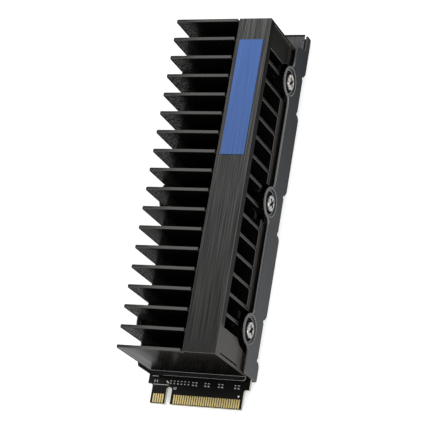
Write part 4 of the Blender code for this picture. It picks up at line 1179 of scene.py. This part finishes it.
def scatter(name, places, material, shape):
    """Chip parts at their places, each given by its middle and its size."""
    mesh = bpy.data.meshes.new(name)
    mesh.from_pydata([middle for middle, _ in places], [], [])
    held = mesh.attributes.new("size", "FLOAT_VECTOR", "POINT")
    for entry, (_, extent) in zip(held.data, places):
        entry.vector = extent
    values = {"Shape": shape}
    piece = grow(name, mesh, parts_tree(finish(material), values), values)
    smooth(piece)
    return piece


def body_and_ends(part):
    """Middles and sizes of one part's body and of its two soldered ends."""
    x, distance, width, long, tall = part
    y = BOARD_LOW.y + distance
    end, slimmer, lower = long * 0.24, 0.94, 0.96
    body = ((x, y, CARD_TOP + tall * 0.49), (width * slimmer, long - end * 1.6, tall * lower))
    ends = [((x, y + side * (long - end) / 2, CARD_TOP + tall * 0.48), (width, end, tall))
            for side in (-1, 1)]
    return body, ends


class DRIVE_OT_small_parts(bpy.types.Operator):
    """Solder the small capacitors and resistors behind the contacts"""
    bl_idname = "drive.small_parts"
    bl_label = "Small parts"

    def execute(self, context):
        shape = new_object("rounded_cube", rounded_cube())
        ends = []
        for name, parts, material, slot in (("capacitors", CAPACITORS, "ceramic_brown", "ferrite"),
                                            ("resistors", RESISTORS, "resistor_black", "chip_plastic")):
            bodies = []
            for part in parts:
                body, part_ends = body_and_ends(part)
                bodies.append(body)
                ends += part_ends
            hand_over(scatter(name, bodies, material, shape), slot)
        hand_over(scatter("soldered_ends", ends, "solder_tin", shape), "crystal_metal")
        bpy.data.objects.remove(shape)
        return {"FINISHED"}


class DRIVE_OT_print(bpy.types.Operator):
    """Print the pin mark, the thin guide line and the small strokes on the card"""
    bl_idname = "drive.print"
    bl_label = "Card print"

    def execute(self, context):
        lift, thickness = 0.000001, 0.000012
        start, low, high = BOARD_LOW.y, CARD_TOP + lift, CARD_TOP + thickness
        arrow = [(0.00872, start + 0.00275), (0.00897, start + 0.00232), (0.00922, start + 0.00275)]
        outlines = [arrow]
        for x, distance, width, long in MARKS:
            near, far = start + distance - long / 2, start + distance + long / 2
            left, right = x - width / 2, x + width / 2
            outlines.append([(left, near), (right, near), (right, far), (left, far)])
        bodies = [plate(outline, low, high) for outline in outlines]
        piece = add_object("card_print", mesh_of_rings("card_print", bodies), "silkscreen_white")
        hand_over(piece, "laminate")
        return {"FINISHED"}


CHIP_FINISHES = {
    "chip_plastic": ["controller", "memory_buffer", "flash_1", "flash_2", "power_chip", "boot_memory"],
    "capacitor_tan": ["bulk_capacitor_1", "bulk_capacitor_2"],
    "ferrite": ["inductor_1", "inductor_2", "inductor_3"],
    "crystal_lid": ["crystal"]}


class DRIVE_OT_chips(bpy.types.Operator):
    """Finish the chips, coils and capacitors under the heatsink"""
    bl_idname = "drive.chips"
    bl_label = "Chips"

    def execute(self, context):
        for material, nodes in CHIP_FINISHES.items():
            for node in nodes:
                frame["nodes"][node].material_slots[0].material = finish(material)
        return {"FINISHED"}


# Pads and label


def pad_rings(outline, low_z, high_z, bulge):
    """Rings of a clamped pad: flat faces, and edges that bulge out unevenly between them."""
    count = len(outline)
    rings = []
    for level, share in ((0.0, 0.0), (0.12, 0.62), (0.32, 0.93), (0.5, 1.0),
                         (0.68, 0.93), (0.88, 0.62), (1.0, 0.0)):
        ring = []
        for i, (u, v) in enumerate(outline):
            (before_u, before_v), (after_u, after_v) = outline[i - 1], outline[(i + 1) % count]
            run = Vector((after_u - before_u, after_v - before_v)).normalized()
            slow, quick = 0.35 * sin(u * 900.0 + v * 640.0), 0.25 * sin(u * 2300.0 - v * 1700.0)
            swell = bulge * (1.0 + slow + quick)
            ring.append((u + run.y * swell * (share - 0.5), v - run.x * swell * (share - 0.5),
                         low_z + level * (high_z - low_z)))
        rings.append(ring)
    return rings


def dense(outline):
    """The same closed outline with a point at least every step."""
    step, points = 0.0004, []
    for (u, v), (next_u, next_v) in zip(outline, outline[1:] + outline[:1]):
        pieces = max(1, int(sqrt((next_u - u) ** 2 + (next_v - v) ** 2) / step))
        points += [(u + (next_u - u) * i / pieces, v + (next_v - v) * i / pieces) for i in range(pieces)]
    return points


def round_rectangle(low_u, high_u, low_v, high_v, radius):
    outline = []
    for u, v, side_u, side_v, start in ((high_u, low_v, -1, 1, -pi / 2), (high_u, high_v, -1, -1, 0.0),
                                        (low_u, high_v, 1, -1, pi / 2), (low_u, low_v, 1, 1, pi)):
        outline += arc(u + side_u * radius, v + side_v * radius, radius, start, start + pi / 2, 6)
    return outline


def notched_pad(low, high):
    """Pad outline that widens behind the heatsink and is cut round about the mounting notch."""
    radius, wide, gap = 0.0032, 0.01122, 0.0002
    end, step = BOARD_HIGH.y, HEATSINK_HIGH.y + gap
    rise = PAD_END - end
    swing = asin(rise / radius)
    outline = [(low.x, low.y), (high.x, low.y), (high.x, step), (wide, step), (wide, PAD_END)]
    outline += arc(0.0, end, radius, swing, -pi - swing, 26)
    return outline + [(-wide, PAD_END), (-wide, step), (low.x, step)]


class DRIVE_OT_pads(bpy.types.Operator):
    """Lay the thermal pads with their squeezed edges"""
    bl_idname = "drive.pads"
    bl_label = "Thermal pads"

    def execute(self, context):
        corner, bulge = 0.0006, 0.00007
        for node, material in (("controller_pad", "pad_dark"), ("memory_pad", "pad_grey"),
                               ("base_pad", "pad_grey")):
            low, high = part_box(node)
            if node == "memory_pad":
                outline = notched_pad(low, high)
            else:
                outline = round_rectangle(low.x, high.x, low.y, high.y, corner)
            mesh = mesh_of_rings(node, [pad_rings(dense(outline), low.z, high.z, bulge)])
            piece = add_object(f"thermal_{node}", mesh, material)
            smooth(piece, 50.0)
            hand_over(piece, SLOTS[node], node)
        return {"FINISHED"}


class DRIVE_OT_label(bpy.types.Operator):
    """Stick the bare label on the roof strip"""
    bl_idname = "drive.label"
    bl_label = "Label"

    def execute(self, context):
        sizes = context.scene.drive_label
        low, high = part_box("label")
        near, far = low.y - sizes.near_margin, high.y - sizes.far_margin
        right = high.x - sizes.right_margin
        outline = [(low.x, near), (right, near), (right, far), (low.x, far)]
        rings = plate(outline, low.z, high.z)
        piece = add_object("blue_label", mesh_of_rings("blue_label", [rings]), "label_blue")
        soften(piece, sizes.edge)
        hand_over(piece, SLOTS["label"], "label")
        return {"FINISHED"}


# Studio


def area_light(name, spot, target, width, height, power, tone=(1.0, 1.0, 1.0)):
    light = bpy.data.lights.new(name, "AREA")
    light.shape = "RECTANGLE"
    light.size, light.size_y, light.energy, light.color = width, height, power, tone
    lamp = new_object(name, light)
    lamp.location = spot
    lamp.rotation_euler = (Vector(target) - Vector(spot)).to_track_quat("-Z", "Y").to_euler()


class DRIVE_OT_stage(bpy.types.Operator):
    """Lay the pale floor and set the lights and the camera"""
    bl_idname = "drive.stage"
    bl_label = "Studio"

    def execute(self, context):
        scene, stage, colours = context.scene, context.scene.drive_stage, context.scene.drive_colours
        half_floor, drop, white = 3.0, 0.0001, (1.0, 1.0, 1.0, 1.0)
        builder = bmesh.new()
        bmesh.ops.create_grid(builder, x_segments=8, y_segments=8, size=half_floor)
        finish_material("floor_paper", tuple(colours.floor), 0.9, Emission_Color=white,
                        Emission_Strength=stage.table)
        floor = add_object("floor", new_mesh("floor", builder), "floor_paper")
        floor.location.z = -drop

        world = bpy.data.worlds.new("studio")
        world.use_nodes = True
        sky = world.node_tree.nodes["Background"].inputs
        sky["Color"].default_value, sky["Strength"].default_value = white, stage.sky
        scene.world = world
        area_light("overhead_softbox", (-0.25, 0.2, 0.7), (0.0, 0.0, 0.01), 0.5, 0.5, stage.overhead)
        area_light("key_softbox", (0.6, -0.5, 0.62), (0.0, 0.0, 0.0), 0.6, 0.6, stage.key, (0.96, 0.98, 1.0))

        camera = bpy.data.cameras.new("camera")
        camera.lens, camera.sensor_width, camera.clip_start = stage.lens, 36.0, 0.01
        holder = new_object("camera", camera)
        # The camera's own axes and its place, as fitted to the outlines in the photo
        right = Vector((0.91726337, 0.1619252, -0.36387928))
        up = Vector((-0.02947051, 0.93871366, 0.34343581))
        back = Vector((0.39718937, -0.30429738, 0.86581968))
        pose = Matrix((right, up, back)).transposed().to_4x4()
        pose.translation = Vector((0.139792, -0.109095, 0.313224))
        holder.matrix_world = pose
        scene.camera = holder
        scene.view_settings.view_transform = "Standard"
        return {"FINISHED"}


PIECES = [DRIVE_OT_heatsink, DRIVE_OT_tray, DRIVE_OT_screws, DRIVE_OT_card, DRIVE_OT_contacts,
          DRIVE_OT_small_parts, DRIVE_OT_print, DRIVE_OT_chips, DRIVE_OT_pads, DRIVE_OT_label, DRIVE_OT_stage]
GROUPS = {"drive_heatsink": HeatsinkSizes, "drive_screws": ScrewSizes, "drive_tray": TraySizes,
          "drive_card": CardSizes, "drive_label": LabelSizes, "drive_colours": FinishColours,
          "drive_stage": StageSizes}


class DRIVE_PT_pieces(bpy.types.Panel):
    """Sizes, colours and pieces of the drive"""
    bl_label = "Gumstick Drive"
    bl_idname = "DRIVE_PT_pieces"
    bl_space_type = "VIEW_3D"
    bl_region_type = "UI"
    bl_category = "Drive"

    def draw(self, context):
        for name, group in GROUPS.items():
            box = self.layout.box()
            for prop in group.__annotations__:
                box.prop(getattr(context.scene, name), prop)
        for piece in PIECES:
            self.layout.operator(piece.bl_idname)


CLASSES = [*GROUPS.values(), *PIECES, DRIVE_PT_pieces]


def register():
    for entry in CLASSES:
        bpy.utils.register_class(entry)
    for name, group in GROUPS.items():
        setattr(bpy.types.Scene, name, PointerProperty(type=group))


def unregister():
    for name in GROUPS:
        delattr(bpy.types.Scene, name)
    for entry in reversed(CLASSES):
        bpy.utils.unregister_class(entry)


def main():
    register()
    make_finishes(bpy.context.scene.drive_colours)
    for piece in PIECES:
        category, name = piece.bl_idname.split(".")
        getattr(getattr(bpy.ops, category), name)()


if __name__ == "__main__":
    main()
